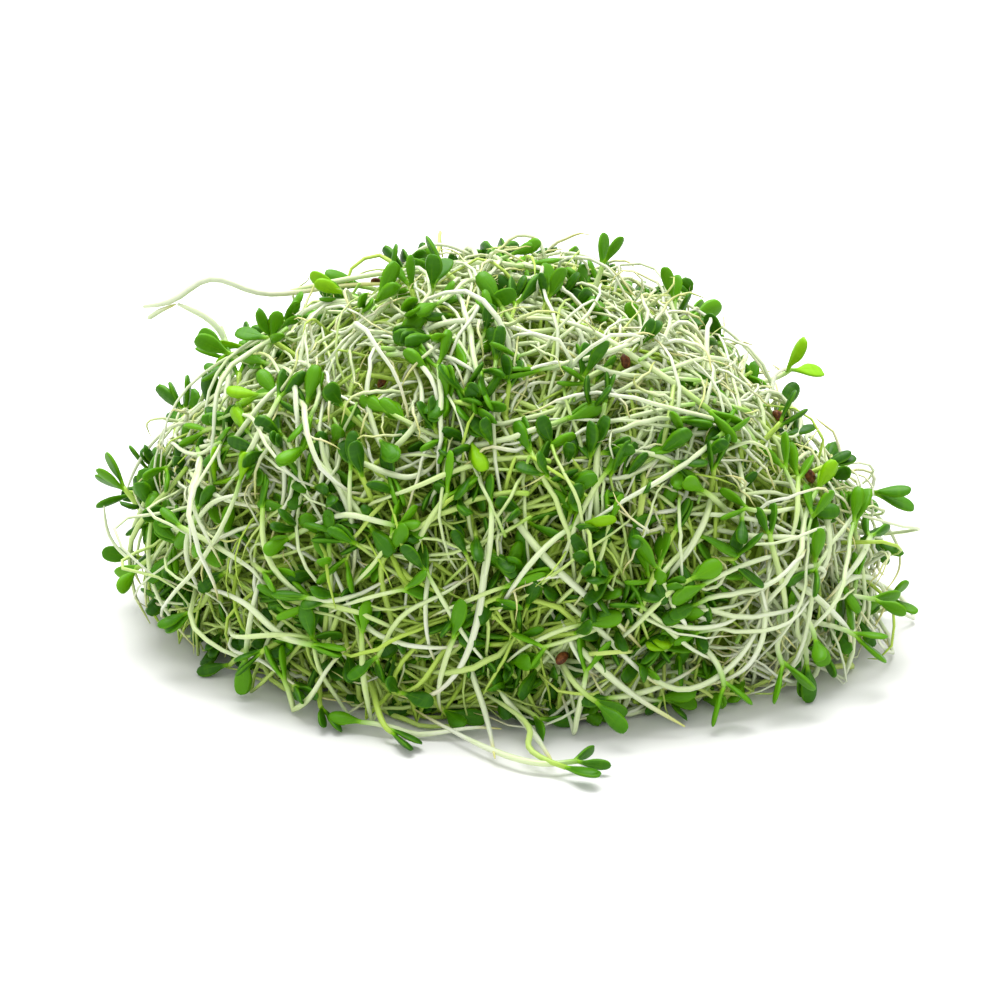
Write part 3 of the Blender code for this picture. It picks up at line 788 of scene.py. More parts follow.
# Each: what it is, how thick, how far off the heap its first point and its last are, and how far across
# and up the view its points are
keyForm = {
    "points": 22,
    "under": 1.6,             # how far below the heap's surface a strand's ends dip
    "dipPower": 6,            # how close to the end the dip is
    "onHeap": 1.01,           # an end past this share lies beyond the outline
    "smoothings": 3,
    "strands": (
        ("root", 1.0, 0, 0, ((-59, 52), (-53.3, 52.5), (-50.8, 56), (-47.7, 57.6), (-44.7, 56.4),
                             (-41.7, 54.3), (-37.5, 53.8), (-31.7, 54.7), (-25, 56), (-16, 57))),
        ("root", 0.9, 0, 0, ((-53.3, 52.4), (-49.2, 50.8), (-46.3, 48.7), (-45, 45.8), (-44.7, 41),
                             (-42, 36))),
        ("root", 0.7, 0, 0, ((-58.3, 50), (-56.3, 51.3), (-53.6, 52.4))),
        ("stem", 0.72, 0.5, 0, ((-36, 53.8), (-30, 55.2), (-21, 57), (-13, 58), (-5, 58), (4, 56))),
        ("stem", 0.7, 1, 0, ((-45.4, 48), (-44.6, 45), (-44, 40), (-45, 34), (-48, 28), (-49, 22))),
        ("root", 0.46, 0, 0, ((-62, 22), (-61, 25), (-58, 29.5), (-54.5, 32.5), (-51, 34.6), (-46, 36))),
        ("stem", 0.78, 2, -1, ((-43, 30), (-38, 30.4), (-35, 28), (-34.2, 24), (-35, 19), (-38, 13))),
        ("stem", 0.76, 2, -1, ((-32, 28.5), (-28, 25.4), (-25, 21.5), (-23.3, 16.5), (-23, 11), (-25, 4))),
        ("stem", 0.8, 2, -1, ((-23, 26.5), (-18.5, 24.3), (-14.5, 23.2), (-11, 24.8), (-9, 29))),
        ("stem", 0.74, 2, 0, ((-19, 26.5), (-14.2, 30), (-12.2, 33), (-12.3, 38), (-15, 44))),
        ("stem", 0.76, 2, 0, ((-16, 46), (-8, 48), (0, 47.6), (7, 45.8), (14, 42.5))),
        ("sprout", 0.8, 3, 1, ((32, 33), (27.2, 37), (21, 41.3), (15.2, 45.6), (9, 48.4), (0, 50))),
        ("stem", 0.6, 2, 0, ((9, 34.6), (14, 37), (20, 40), (25, 42.3), (27, 40.6), (29, 35))),
        ("stem", 0.62, 2, 0, ((-12, 19), (-6, 27), (-2, 33), (2, 38), (8, 41))),
        ("stem", 0.66, 2, -1, ((22, 38), (29, 36.4), (36, 36), (43, 35), (47, 33))),
        ("stem", 0.7, 2, -1, ((12, 30), (18, 30.5), (24, 28), (31, 25), (36, 21))),
        ("stem", 0.95, 2.5, 1, ((1, 19), (4, 14.5), (7.6, 10), (12.7, 5.5), (18, 1), (23.5, -4.4))),
        ("stem", 0.92, 2.5, 2, ((10, -1), (13.6, -4.5), (18.2, -8.6), (22.6, -11.8), (28.6, -15.3))),
        ("stem", 0.9, 2, 2, ((-1, 17), (-2.3, 10), (-2.8, 4.5), (-4, -1.3), (-6, -6.4), (-10.2, -11),
                             (-14.7, -11.9), (-18, -11.2))),
        ("stem", 0.74, 0.5, 0, ((-5.4, -5), (-4, -9), (-2.4, -13.5), (-1.4, -17.6), (-0.8, -20.6))),
        ("sprout", 0.78, 0, 0, ((12, -21), (7, -21.6), (2, -20.6), (-3, -18.8), (-8, -16.6), (-14, -14))),
        ("stem", 0.86, 0.5, 0, ((0, -11), (3.2, -14.5), (6, -17.8), (8.4, -21.4))),
        ("stem", 0.6, 2, 0, ((-11, 10), (-11.6, 5), (-11.6, 0), (-11, -4.4), (-9, -8))),
        ("sprout", 0.86, 3, 0, ((-28.6, -2.6), (-32.6, -2), (-36, 0), (-39.6, 3.2), (-44, 5), (-50, 6))),
        ("sprout", 0.74, 3, 0, ((-49.5, 15.2), (-46, 13.4), (-43.2, 11.6), (-39, 8.6), (-36, 3))),
        ("root", 0.46, 2, 1, ((-44, -1.6), (-44.7, -3.6), (-42, -4.5), (-38.2, -5), (-34.5, -7.8),
                              (-30, -11.2), (-24, -13))),
        ("root", 0.5, 2, 0, ((-28, 12), (-25.2, 7), (-23, 2), (-21, -2.6), (-19.6, -6))),
        ("root", 0.46, 0, 0.5, ((-66, 19), (-65.6, 14), (-63, 11), (-60, 9.2), (-56, 10.4), (-51, 12))),
        ("sprout", 0.7, 3, 0, ((-29.5, 4.6), (-26, 4), (-22, 5), (-17, 8))),
        ("stem", 0.74, 2, 1, ((20, -5.4), (23.3, -7.7), (27.5, -10.6), (33, -9), (38.4, -4.4), (41.7, 1.7),
                              (43, 8), (43.3, 14))),
        ("stem", 0.66, 2, 0, ((20, 2.4), (25, 0.6), (31, -0.4), (36.5, 0.4), (40, 3.4), (42.4, 7))),
        ("stem", 0.66, 2, 1, ((47, -8), (49, -2), (48, 3), (45, 8), (43.4, 13))),
        ("stem", 0.84, 3, 2, ((44, 9), (47.6, 6), (51, 2.8), (55, -0.8), (57.6, -5.6))),
        ("stem", 0.8, 0.5, 0.5, ((55.4, -3), (53.8, 0.6), (53.6, 4), (55, 6.8), (58, 7.9), (61.6, 6.8),
                                 (64, 3.6), (63, -0.6))),
        ("stem", 0.84, 2, 0, ((51.6, 22), (52.2, 17), (52.4, 12), (51.6, 8.4), (48, 6.6), (43, 6.6))),
        ("stem", 0.82, 2, 0, ((34.4, 21.5), (32.2, 16.6), (29.4, 11.6), (25.6, 7), (22, 1))),
        ("stem", 0.66, 2, 0, ((30, 18), (36, 17.4), (42, 16.4), (48.4, 13.6), (53, 10))),
        ("root", 0.46, 0.5, 0, ((58, 20), (61.4, 18.6), (64.2, 15), (66, 11.6), (66.4, 8.6), (65, 5))),
        ("root", 0.46, 0, 0, ((28, 54), (34, 50.5), (39, 47), (43, 42.5), (46, 37), (48.6, 31))),
        ("root", 0.46, 0, 0, ((5, 59.5), (10, 61), (15, 60.2), (19.4, 57.6), (23, 54))),
        ("stem", 0.7, 3, 1.5, ((42.2, 6.1), (41.4, 1.4), (40.6, -2.5), (38.7, -6.3), (35.5, -8.5),
                               (30.7, -10.4))),
        ("stem", 0.84, 2.5, 1.5, ((45.1, 8.4), (47.6, 5.8), (50.8, 3.3), (54, -0.6))),
        ("stem", 0.76, 1.5, 1.5, ((44, 7), (46.7, 8.4), (49.2, 9.5), (51.8, 8.4), (50.2, 6.8),
                                  (47.6, 7.1))),
        ("sprout", 0.7, 1, 1, ((48.7, -6.2), (48.6, -3.7), (47, -1.2), (47.3, 1.4), (46, 5))),
        ("stem", 0.72, 2, 1.5, ((26.6, 3), (28.2, 1.3), (29.8, -0.6))),
        ("stem", 0.74, 1.5, 1.5, ((10, 4.2), (15.7, -0.5), (19.2, -4.4), (23.4, -8.2), (27.2, -10.8))),
        ("stem", 0.56, 1.5, 1, ((10, 0.7), (11.3, -3.1), (13.2, -6.3), (16.4, -8.8))),
        ("stem", 0.6, 2, 1, ((17, 27), (14.4, 22), (13.6, 16), (14.2, 10), (16, 5))),
        ("stem", 0.7, 1.5, 1, ((-24, 2), (-19, -1.5), (-14, -3), (-8, -3.4), (-3, -2))),
        ("stem", 0.66, 1.5, 1, ((-52, 26), (-47.5, 22), (-43.4, 19.5), (-38, 18.6), (-33, 19.6))),
        ("root", 0.46, 0, 0, ((-16, 58.6), (-13, 62), (-9, 62.4), (-4, 60), (0, 60.8), (3, 63), (6, 59))),
    ),
}


def seenPath(points, firstOff, lastOff, count):
    # Straight steps between the seen points, taken at even lengths and smoothed: each point becomes
    # (the one before + 2 * itself + the next) / 4
    offs = np.linspace(firstOff, lastOff, len(points))
    knots = np.array([seenPoint(x, y, off) for (x, y), off in zip(points, offs)])
    lengths = np.concatenate([[0], np.cumsum(np.linalg.norm(np.diff(knots, axis=0), axis=1))])
    even = np.linspace(0, lengths[-1], count)
    path = np.stack([np.interp(even, lengths, knots[:, k]) for k in range(3)], axis=1)
    for _ in range(keyForm["smoothings"]):
        path[1:-1] = (path[:-2] + path[1:-1] * 2 + path[2:]) / 4
    return path


def dipEnds(path, firstOff, lastOff, atFirst):
    # Each end goes in along the normal by (its height off the heap + under) * (1 - t)^dipPower, with t
    # from the end, so that it comes out from between its neighbours. An end past the heap's outline
    # stays where it is.
    t = np.linspace(0, 1, len(path))
    power = keyForm["dipPower"]
    dipped = path.copy()
    for end, off, fading in ((0, firstOff, (1 - t) ** power), (-1, lastOff, t**power)):
        normal = normalAt(path[end])
        onHeap = shareOf(path[end] - normal * off) < keyForm["onHeap"]
        if onHeap and (end or atFirst):
            dipped -= normal * ((off + keyForm["under"]) * fading)[:, None]
    return dipped


# Pairs of leaves: how far across and up the view a pair's middle is, and which way it points, in degrees
pairForm = {
    "off": 1.6,               # how far off the heap a pair starts
    "sink": 0.12,             # how far its stem sinks, as a share of the heap's size
    "lengths": (14, 24),
    "thicknesses": (0.55, 0.8),
    "winding": 0.03,
    "pairs": (
        (-23, 28, 88), (-46, 27, 196), (-46, 21, 60), (-37.5, 21.5, 98), (-26.5, 16, 90), (-15, 17.5, 62),
        (-13, 15, 345), (-58, 18.5, 135), (-57, 24, 100), (-51, 15, 200), (-45, 11, 340), (-32.5, 4, 180),
        (-29.5, 1.5, 96), (-26, -2.5, 350), (-21.5, 2.5, 90), (-35.5, -5.5, 120), (-21, -7.5, 235),
        (-13, 11.5, 120), (-11.5, 6.5, 10), (-5.5, 1.5, 62), (-41, -7.5, 250), (-25, -15, 184),
        (-6.5, 23.5, 60), (18.5, 26.5, 50), (30, 24, 335), (14.5, 17.5, 28), (17.5, 20, 80), (4, 7.5, 18),
        (24, 12.5, 100), (19, 5, 150), (28.5, 5.5, 200), (32.5, 8.5, 20), (16, 1, 8), (35, 18.5, 178),
        (41.5, 17.5, 100), (36.5, 13.5, 250), (50, 13.5, 80), (55, 18.5, 110), (62, 15, 20),
        (14, -3.5, 80), (3.5, -3.5, 190), (13.5, -11, 180), (43, 27.5, 120), (48.5, 26, 60),
        (-2, 22.5, 100),
    ),
}


def pairStrands(rng):
    # For each pair, a strand that runs back from its leaves along the heap, the way opposite to where they
    # point, and sinks by sink * t^sinkPower
    starts = []
    headings = []
    for across, upwards, pointing in pairForm["pairs"]:
        start, screen = pairPlace(across, upwards, pointing, pairForm["off"])
        starts.append(start)
        headings.append(alongSurface(-screen, start))
    start = np.array(starts)
    count = len(start)
    t = np.linspace(0, 1, fillForm["points"])[None]
    depth = shareOf(start)[:, None] - pairForm["sink"] * t ** bundleForm["sinkPower"]
    steady = rng.normal(size=(count, 3)) * pairForm["winding"]
    waving = rng.normal(size=(count, 3)) * pairForm["winding"]
    phase = rng.uniform(0, 2 * math.pi, (count, 1))
    pace = rng.uniform(*bundleForm["paces"], (count, 1))
    lengths = rng.uniform(*pairForm["lengths"], count)
    heading = np.array(headings)
    return wander(start, heading, steady, waving, phase, pace, lengths, depth, fillForm["points"])


keyPaths = {"root": [], "stem": [], "sprout": []}
for kind, thickness, firstOff, lastOff, points in keyForm["strands"]:
    path = seenPath(points, firstOff, lastOff, keyForm["points"])
    keyPaths[kind].append((thickness, dipEnds(path, firstOff, lastOff, kind != "sprout")))
print("strands placed by eye:", {kind: len(found) for kind, found in keyPaths.items()})


# Surfaces carried along paths

def carriedFrames(paths, side):
    # The tangent is the difference of the neighbours. The way across is carried along: at each point it
    # loses its part along the tangent, so the surface doesn't twist.
    tangents = units(np.gradient(paths, axis=1))
    sides = np.empty_like(paths)
    for k in range(paths.shape[1]):
        along = tangents[:, k]
        side = units(side - along * (side * along).sum(axis=1, keepdims=True))
        sides[:, k] = side
    return tangents, sides, np.cross(tangents, sides)


# how far a skin's end poles stand out, as shares of its half thickness there, and where round it the
# map starts and how much of its row it takes
sweepForm = {"firstPole": 0.5, "lastPole": 0.9, "mapFrom": 0.1, "mapShare": 0.8}


def sweptRings(paths, side, halfWide, halfThick, cup, around):
    # Each ring is point + side * w cos(a) + normal * (h sin(a) + cup * cos(a)^2), an ellipse whose
    # edges are bent up by cup
    tangents, sides, normals = carriedFrames(paths, side)
    angle = 2 * math.pi * np.arange(around) / around
    rings = paths[:, :, None] + sides[:, :, None] * (halfWide[..., None] * np.cos(angle))[..., None]
    lift = halfThick[..., None] * np.sin(angle) + cup[..., None] * np.cos(angle) ** 2
    rings = rings + normals[:, :, None] * lift[..., None]
    first = paths[:, 0] - tangents[:, 0] * halfThick[:, :1] * sweepForm["firstPole"]
    last = paths[:, -1] + tangents[:, -1] * halfThick[:, -1:] * sweepForm["lastPole"]
    return rings, np.stack([first, last], axis=1)


def closedSurface(rings, poles, alongs, rows):
    # One closed skin for each strand: a grid of rings, and a fan to a pole at each end. The map goes from
    # alongs[0] to alongs[-1] along it, a little further for the poles, and round within its row.
    strands, count, around = rings.shape[:3]
    size = count * around + 2
    verts = np.concatenate([rings.reshape(strands, -1, 3), poles], axis=1).reshape(-1, 3)
    k, j = np.meshgrid(np.arange(count - 1), np.arange(around), indexing="ij")
    after = (j + 1) % around
    ring = k * around
    nextRing = (k + 1) * around
    quads = np.stack([ring + j, ring + after, nextRing + after, nextRing + j], axis=-1)
    j = np.arange(around)
    after = (j + 1) % around
    first = np.stack([np.full(around, size - 2), after, j], axis=-1)
    last = (count - 1) * around
    end = np.stack([np.full(around, size - 1), last + j, last + after], axis=-1)
    offset = (np.arange(strands) * size)[:, None]
    quads = quads.reshape(1, -1) + offset
    fans = np.concatenate([first, end]).reshape(1, -1) + offset
    u = np.asarray(alongs, float)
    share = (np.arange(around + 1) / around) * sweepForm["mapShare"] + sweepForm["mapFrom"]
    quadU = np.stack([u[:-1], u[:-1], u[1:], u[1:]], axis=-1)[:, None].repeat(around, axis=1)
    quadV = np.stack([share[:-1], share[1:], share[1:], share[:-1]], axis=-1)
    quadV = quadV[None].repeat(count - 1, axis=0)
    past = skinRows["pastEnd"]
    firstU = [u[0] + past * np.sign(u[0] - u[1]), u[0], u[0]]
    lastU = [u[-1] + past * np.sign(u[-1] - u[-2]), u[-1], u[-1]]
    fanU = np.concatenate([np.tile(firstU, around), np.tile(lastU, around)])
    middle = (share[:-1] + share[1:]) / 2
    firstV = np.stack([middle, share[1:], share[:-1]], axis=-1)
    lastV = np.stack([middle, share[:-1], share[1:]], axis=-1)
    fanV = np.concatenate([firstV.ravel(), lastV.ravel()])
    rows = np.asarray(rows)[:, None]
    rowCount = skinRows["count"]
    alongQuads = np.broadcast_to(quadU.ravel(), quads.shape)
    quadMap = np.stack([alongQuads, (rows + quadV.ravel()) / rowCount], axis=-1)
    fanMap = np.stack([np.broadcast_to(fanU, fans.shape), (rows + fanV) / rowCount], axis=-1)
    return {"verts": verts, "quads": quads.reshape(-1, 4), "fans": fans.reshape(-1, 3),
            "quadMap": quadMap.reshape(-1, 2), "fanMap": fanMap.reshape(-1, 2)}


# the map's rows, one tone each from the least painted shade to the most, where on it a leaf starts,
# how far past a strand's ends its poles are, how deep the strands with the most painted shade run,
# and what the rows' tones are drawn from
skinRows = {"count": 32, "leafFrom": 0.6, "pastEnd": 0.006, "depth": 0.09, "toneSeed": 3.7}
# strands on the side of the heap that faces away from this way are shaded more
lightAcross = np.array([0.6, 0.8, 0.0])
# a stem's thickness along it, from its leaves at 0 to its root's end at 1
stemTaper = {
    "atLeaves": 0.86,         # as a share of the full one, which it has in the middle of its swell
    "swellEnd": 0.7,
    "thinsFrom": 0.4,         # where it starts to thin towards the root's thickness
    "endFrom": 0.85,          # where the last thinning starts
    "bareStart": 0.5,         # a strand without its leaves: its thickness at the start, and where that ends
    "bareFor": 0.07,
}


def stemSurface(paths, thickness, rows, around, endShare, fromAlong=0.0):
    # The radius is the stem's times atLeaves + (1 - atLeaves) * sin(pi t / swellEnd), falls evenly to
    # the root's from thinsFrom on, and to endShare of it from endFrom on. A strand without its leaves,
    # which starts further along the map, narrows to bareStart at its start too.
    t = np.linspace(0, 1, paths.shape[1])
    atLeaves = stemTaper["atLeaves"]
    thinsFrom = stemTaper["thinsFrom"]
    endFrom = stemTaper["endFrom"]
    bareStart = stemTaper["bareStart"]
    swell = np.sin(math.pi * np.minimum(t / stemTaper["swellEnd"], 1))
    stem = sproutForm["stemRadius"] * (atLeaves + (1 - atLeaves) * swell)
    thinning = np.maximum(t - thinsFrom, 0) / (1 - thinsFrom)
    taper = stem + (sproutForm["rootRadius"] - sproutForm["stemRadius"]) * thinning
    taper = taper * np.where(t > endFrom, 1 - (1 - endShare) * (t - endFrom) / (1 - endFrom), 1)
    if fromAlong > 0:
        taper = taper * (bareStart + (1 - bareStart) * np.minimum(t / stemTaper["bareFor"], 1))
    radii = thickness[:, None] * taper[None]
    side = units(np.cross(paths[:, 1] - paths[:, 0], up + viewAcross * 0.3))
    rings, poles = sweptRings(paths, side, radii, radii, radii * 0, around)
    alongs = skinRows["leafFrom"] * (1 - t) * (1 - fromAlong)
    return closedSurface(rings, poles, np.maximum(alongs, skinRows["pastEnd"] * 1.5), rows)


# a round leaf along its length: its neck's half width, where it starts to open and for how long, where
# it starts to close and for how long, and how sharply; its width and thickness are shares of the
# faceted leaf's
leafForm = {
    "widthShare": 0.86,
    "thickShare": 0.42,
    "neck": 0.34,
    "opensFrom": 0.1,
    "opensFor": 0.52,
    "closesFrom": 0.68,
    "closesFor": 0.32,
    "closePower": 2.3,
    "closeMost": 0.995,
    "thinnest": 0.3,
    "cup": 0.1,
}


def leafSurface(leaves, rows, along, around):
    # Along the leaf at s, half the width rises from the neck by opening = o^2 (3 - 2 o) and falls past
    # its widest point by closing = sqrt(1 - c^closePower), with o and c rising from 0 to 1. The
    # thickness does the same, and the middle line bends by curl * s^2.
    s = np.asarray(along)[None]
    opening = np.clip((s - leafForm["opensFrom"]) / leafForm["opensFor"], 0, 1)
    opening = opening**2 * (3 - 2 * opening)
    past = np.clip((s - leafForm["closesFrom"]) / leafForm["closesFor"], 0, leafForm["closeMost"])
    closing = np.sqrt(1 - past ** leafForm["closePower"])
    neck = leafForm["neck"]
    halfWidth = leaves["width"][:, None] * leafForm["widthShare"] / 2
    wide = (neck + (halfWidth - neck) * opening) * closing
    thick = neck + (sproutForm["leafThickness"] * leafForm["thickShare"] - neck) * opening
    thick = thick * np.maximum(closing, leafForm["thinnest"])
    back = np.cross(leaves["across"], leaves["pointing"])
    length = leaves["length"][:, None, None]
    bend = (leaves["curl"][:, None] * s**2)[..., None] * length
    paths = leaves["start"][:, None] + leaves["pointing"][:, None] * length * s[..., None]
    paths = paths + back[:, None] * bend
    inner = -np.sign(leaves["curl"])[:, None]
    cup = inner * opening * closing * leaves["width"][:, None] * leafForm["cup"]
    rings, poles = sweptRings(paths, leaves["across"], wide, thick, cup, around)
    lowest = rings[..., 2].min(axis=(1, 2))
    lift = np.maximum(heap["floorGap"] - lowest, 0)
    rings[..., 2] += lift[:, None, None]
    poles[..., 2] += lift[:, None]
    leafStart = skinRows["leafFrom"]
    return closedSurface(rings, poles, leafStart + (1 - leafStart) * np.asarray(along), rows)


def meshPiece(name, surfaces, material, mapNames=("sproutMap", "OFBake")):
    # All the surfaces as one mesh, in metres (verts * metre), with the map that its finish reads
    offsets = np.cumsum([0] + [len(s["verts"]) for s in surfaces])
    verts = np.concatenate([s["verts"] for s in surfaces]) * metre
    quads = np.concatenate([s["quads"] + o for s, o in zip(surfaces, offsets)])
    fans = np.concatenate([s["fans"] + o for s, o in zip(surfaces, offsets)])
    mesh = bpy.data.meshes.new(name)
    mesh.vertices.add(len(verts))
    mesh.vertices.foreach_set("co", verts.ravel())
    mesh.loops.add(quads.size + fans.size)
    corners = np.concatenate([quads.ravel(), fans.ravel()])
    mesh.loops.foreach_set("vertex_index", corners.astype(np.int32))
    mesh.polygons.add(len(quads) + len(fans))
    starts = np.concatenate([np.arange(len(quads)) * 4, quads.size + np.arange(len(fans)) * 3])
    mesh.polygons.foreach_set("loop_start", starts.astype(np.int32))
    mesh.update(calc_edges=True)
    where = np.concatenate([s["quadMap"] for s in surfaces] + [s["fanMap"] for s in surfaces])
    for layer in mapNames:
        mesh.uv_layers.new(name=layer).data.foreach_set("uv", where.ravel().astype(np.float32))
    mesh.shade_smooth()
    mesh.materials.append(material)
    piece = bpy.data.objects.new(name, mesh)
    bpy.context.scene.collection.objects.link(piece)
    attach(piece, "root")
    print(name, len(quads) * 2 + len(fans), "triangles")
    return piece


def stacked(ones):  # the leaves of drawn sprouts, as arrays
    leaves = [leaf for one in ones for leaf in one["leaves"]]
    return {key: np.array([leaf[key] for leaf in leaves]) for key in leaves[0]}


# Shader maths

class Wire:
    # A socket's value. The operators add Math nodes to its material.
    def __init__(self, finish, socket):
        self.finish = finish
        self.socket = socket

    def maths(self, operation, *values):  # operation(values), as one Math node
        return self.finish.node("ShaderNodeMath", {"operation": operation}, dict(enumerate(values)))

    def __add__(self, other):
        return self.maths("ADD", self, other)

    def __sub__(self, other):
        return self.maths("SUBTRACT", self, other)

    def __rsub__(self, other):
        return self.maths("SUBTRACT", other, self)

    def __mul__(self, other):
        return self.maths("MULTIPLY", self, other)

    def __truediv__(self, other):
        return self.maths("DIVIDE", self, other)

    __radd__ = __add__
    __rmul__ = __mul__

    def floor(self):
        return self.maths("FLOOR", self)

    def fract(self):
        return self.maths("FRACT", self)

    def cosine(self):
        return self.maths("COSINE", self)

    def size(self):
        return self.maths("ABSOLUTE", self)

    def held(self):  # kept between 0 and 1
        return self.maths("MINIMUM", self.maths("MAXIMUM", self, 0.0), 1.0)


gloss = {"coatRoughness": 0.25, "specular": 0.16}


class Finish:
    # One material. node() adds any node: its type, its settings, its sockets' values or links, and
    # gives one of its outputs.
    def __init__(self, name, roughness, coat=0.0):
        self.material = bpy.data.materials.new(name)
        self.material.use_nodes = True
        self.tree = self.material.node_tree
        self.shader = self.tree.nodes["Principled BSDF"]
        self.shader.inputs["Roughness"].default_value = roughness
        self.shader.inputs["Coat Weight"].default_value = coat
        self.shader.inputs["Coat Roughness"].default_value = gloss["coatRoughness"]
        self.shader.inputs["Specular IOR Level"].default_value = gloss["specular"]

    def node(self, kind, settings=None, values=None, output=0):
        made = self.tree.nodes.new(kind)
        for key, value in (settings or {}).items():
            if key == "stops":
                self.setStops(made.color_ramp, value)
            else:
                setattr(made, key, value)
        for key, value in (values or {}).items():
            if isinstance(value, Wire):
                self.tree.links.new(value.socket, made.inputs[key])
            else:
                made.inputs[key].default_value = value
        return Wire(self, made.outputs[output])

    def setStops(self, ramp, stops):  # each stop is a position and a colour
        while len(ramp.elements) < len(stops):
            ramp.elements.new(0.5)
        for element, (position, colour) in zip(ramp.elements, stops):
            element.position = position
            element.color = (*colour, 1)

    def ramp(self, factor, stops):  # the colour between the two stops round factor
        return self.node("ShaderNodeValToRGB", {"stops": stops}, {"Fac": factor})

    def mix(self, factor, a, b):  # a * (1 - factor) + b * factor, for colours
        a, b = [v if isinstance(v, Wire) else (*v, 1) for v in (a, b)]
        return self.node("ShaderNodeMix", {"data_type": "RGBA"}, {0: factor, 6: a, 7: b}, 2)

    def between(self, value, low, high, start=0.0, end=1.0):
        # start at low and end at high, with a smooth step from one to the other
        values = {"Value": value, 1: low, 2: high, 3: start, 4: end}
        return self.node("ShaderNodeMapRange", {"interpolation_type": "SMOOTHSTEP"}, values)

    def vector(self, x, y, z):  # (x, y, z)
        return self.node("ShaderNodeCombineXYZ", None, {0: x, 1: y, 2: z})

    def noise(self, place, scale, detail=2.0, roughness=0.5):  # noise(place * scale), about 0.5
        values = {"Vector": place, "Scale": scale, "Detail": detail, "Roughness": roughness}
        return self.node("ShaderNodeTexNoise", None, values)

    def chance(self, seed):  # a random number for each value of seed
        return self.node("ShaderNodeTexWhiteNoise", {"noise_dimensions": "1D"}, {"W": seed})

    def uses(self, name, wire):  # the shader's input of that name takes the wire
        self.tree.links.new(wire.socket, self.shader.inputs[name])

    def bump(self, height, strength, distance):  # the surface seems raised by height * distance
        values = {"Height": height, "Strength": strength, "Distance": distance}
        self.uses("Normal", self.node("ShaderNodeBump", None, values))


def tone(red, green, blue):
    # A screen colour of 0 to 255 as the linear colour that shaders take: ((c + 0.055) / 1.055)^2.4, or
    # c / 12.92 where it is very dark
    screen = (red / 255, green / 255, blue / 255)
    return tuple(c / 12.92 if c <= 0.04045 else ((c + 0.055) / 1.055) ** 2.4 for c in screen)


# the strands' and leaves' tones; their later rows hold painted shade
outerTones = {
    "rootTip": tone(206, 200, 130),
    "root": tone(219, 223, 206),
    "stem": tone(211, 222, 184),
    "stemGreener": tone(182, 212, 94),
    "shaded": tone(168, 198, 76),
    "neck": tone(120, 178, 12),
    "leaves": (tone(38, 88, 0), tone(60, 118, 0), tone(88, 148, 0), tone(136, 190, 6)),
    "leafEdgeHighlight": tone(106, 168, 2),
    "rib": tone(116, 170, 12),
    "roughness": 0.42,
    "coatOnStems": 0.3,
    "coatOnLeaves": 0.03,
}
# a copy with painted shade for the deep stems: greener and more olive, and less glossy
deepShadedTones = {
    **outerTones,
    "rootTip": tone(190, 192, 106),
    "root": tone(200, 217, 128),
    "stem": tone(188, 212, 106),
    "stemGreener": tone(158, 192, 66),
    "shaded": tone(158, 190, 64),
    "roughness": 0.5,
    "coatOnStems": 0.1,
}


# where along a sprout's map its tones change, from the root's end at 0 to the leaf's tip at 1
bands = {
    "rootTip": (0.0, 0.16),
    "rootToStem": (0.1, 0.4),
    "greener": (0.05, 0.6),
    "neckOnStem": (0.5, 0.6),
    "neckOnLeaf": (0.58, 0.64),
    "leaf": (0.625, 0.70),
    "ribFades": (0.68, 0.95),
}
# the same across its map: from a leaf's middle line at 0 to its edge at 1, and from the least shaded
# row to the most at 1
bandsAcross = {"rib": (0.0, 0.14), "edge": (0.8, 1.0), "shade": (0.0, 0.75)}
# the mottle's and the streaks' cells along the map, round it and from row to row
mottleCells = (27, 1.8, 3.5)
streakCells = (14, 9, 3.1)
# how strong each mark is
marks = {
    # the stem's green in the least shaded row; the painted shade of later rows adds more
    "leastGreener": 0.1,      # the stem's green in the palest row
    "mottleOnStem": 0.5,
    "neck": 0.8,
    "streaksFrom": 0.45,
    "streaks": 1.2,
    "mottleFrom": 0.45,
    "mottleOnLeaf": 0.9,
    "darkerInShade": 0.4,
    # how strong the painted highlight on a leaf's edges is
    "edge": 0.35,
    "rib": 0.3,
    "roughening": 0.16,
    "leafRougher": 0.03,
    "bumpStrength": 0.35,
    "bump": 0.0002,
    "flatterOnLeaf": 0.6,     # how much less the streaks stand out on a leaf
    "ribSunk": 0.9,
    "mottleRaised": 0.3,
}


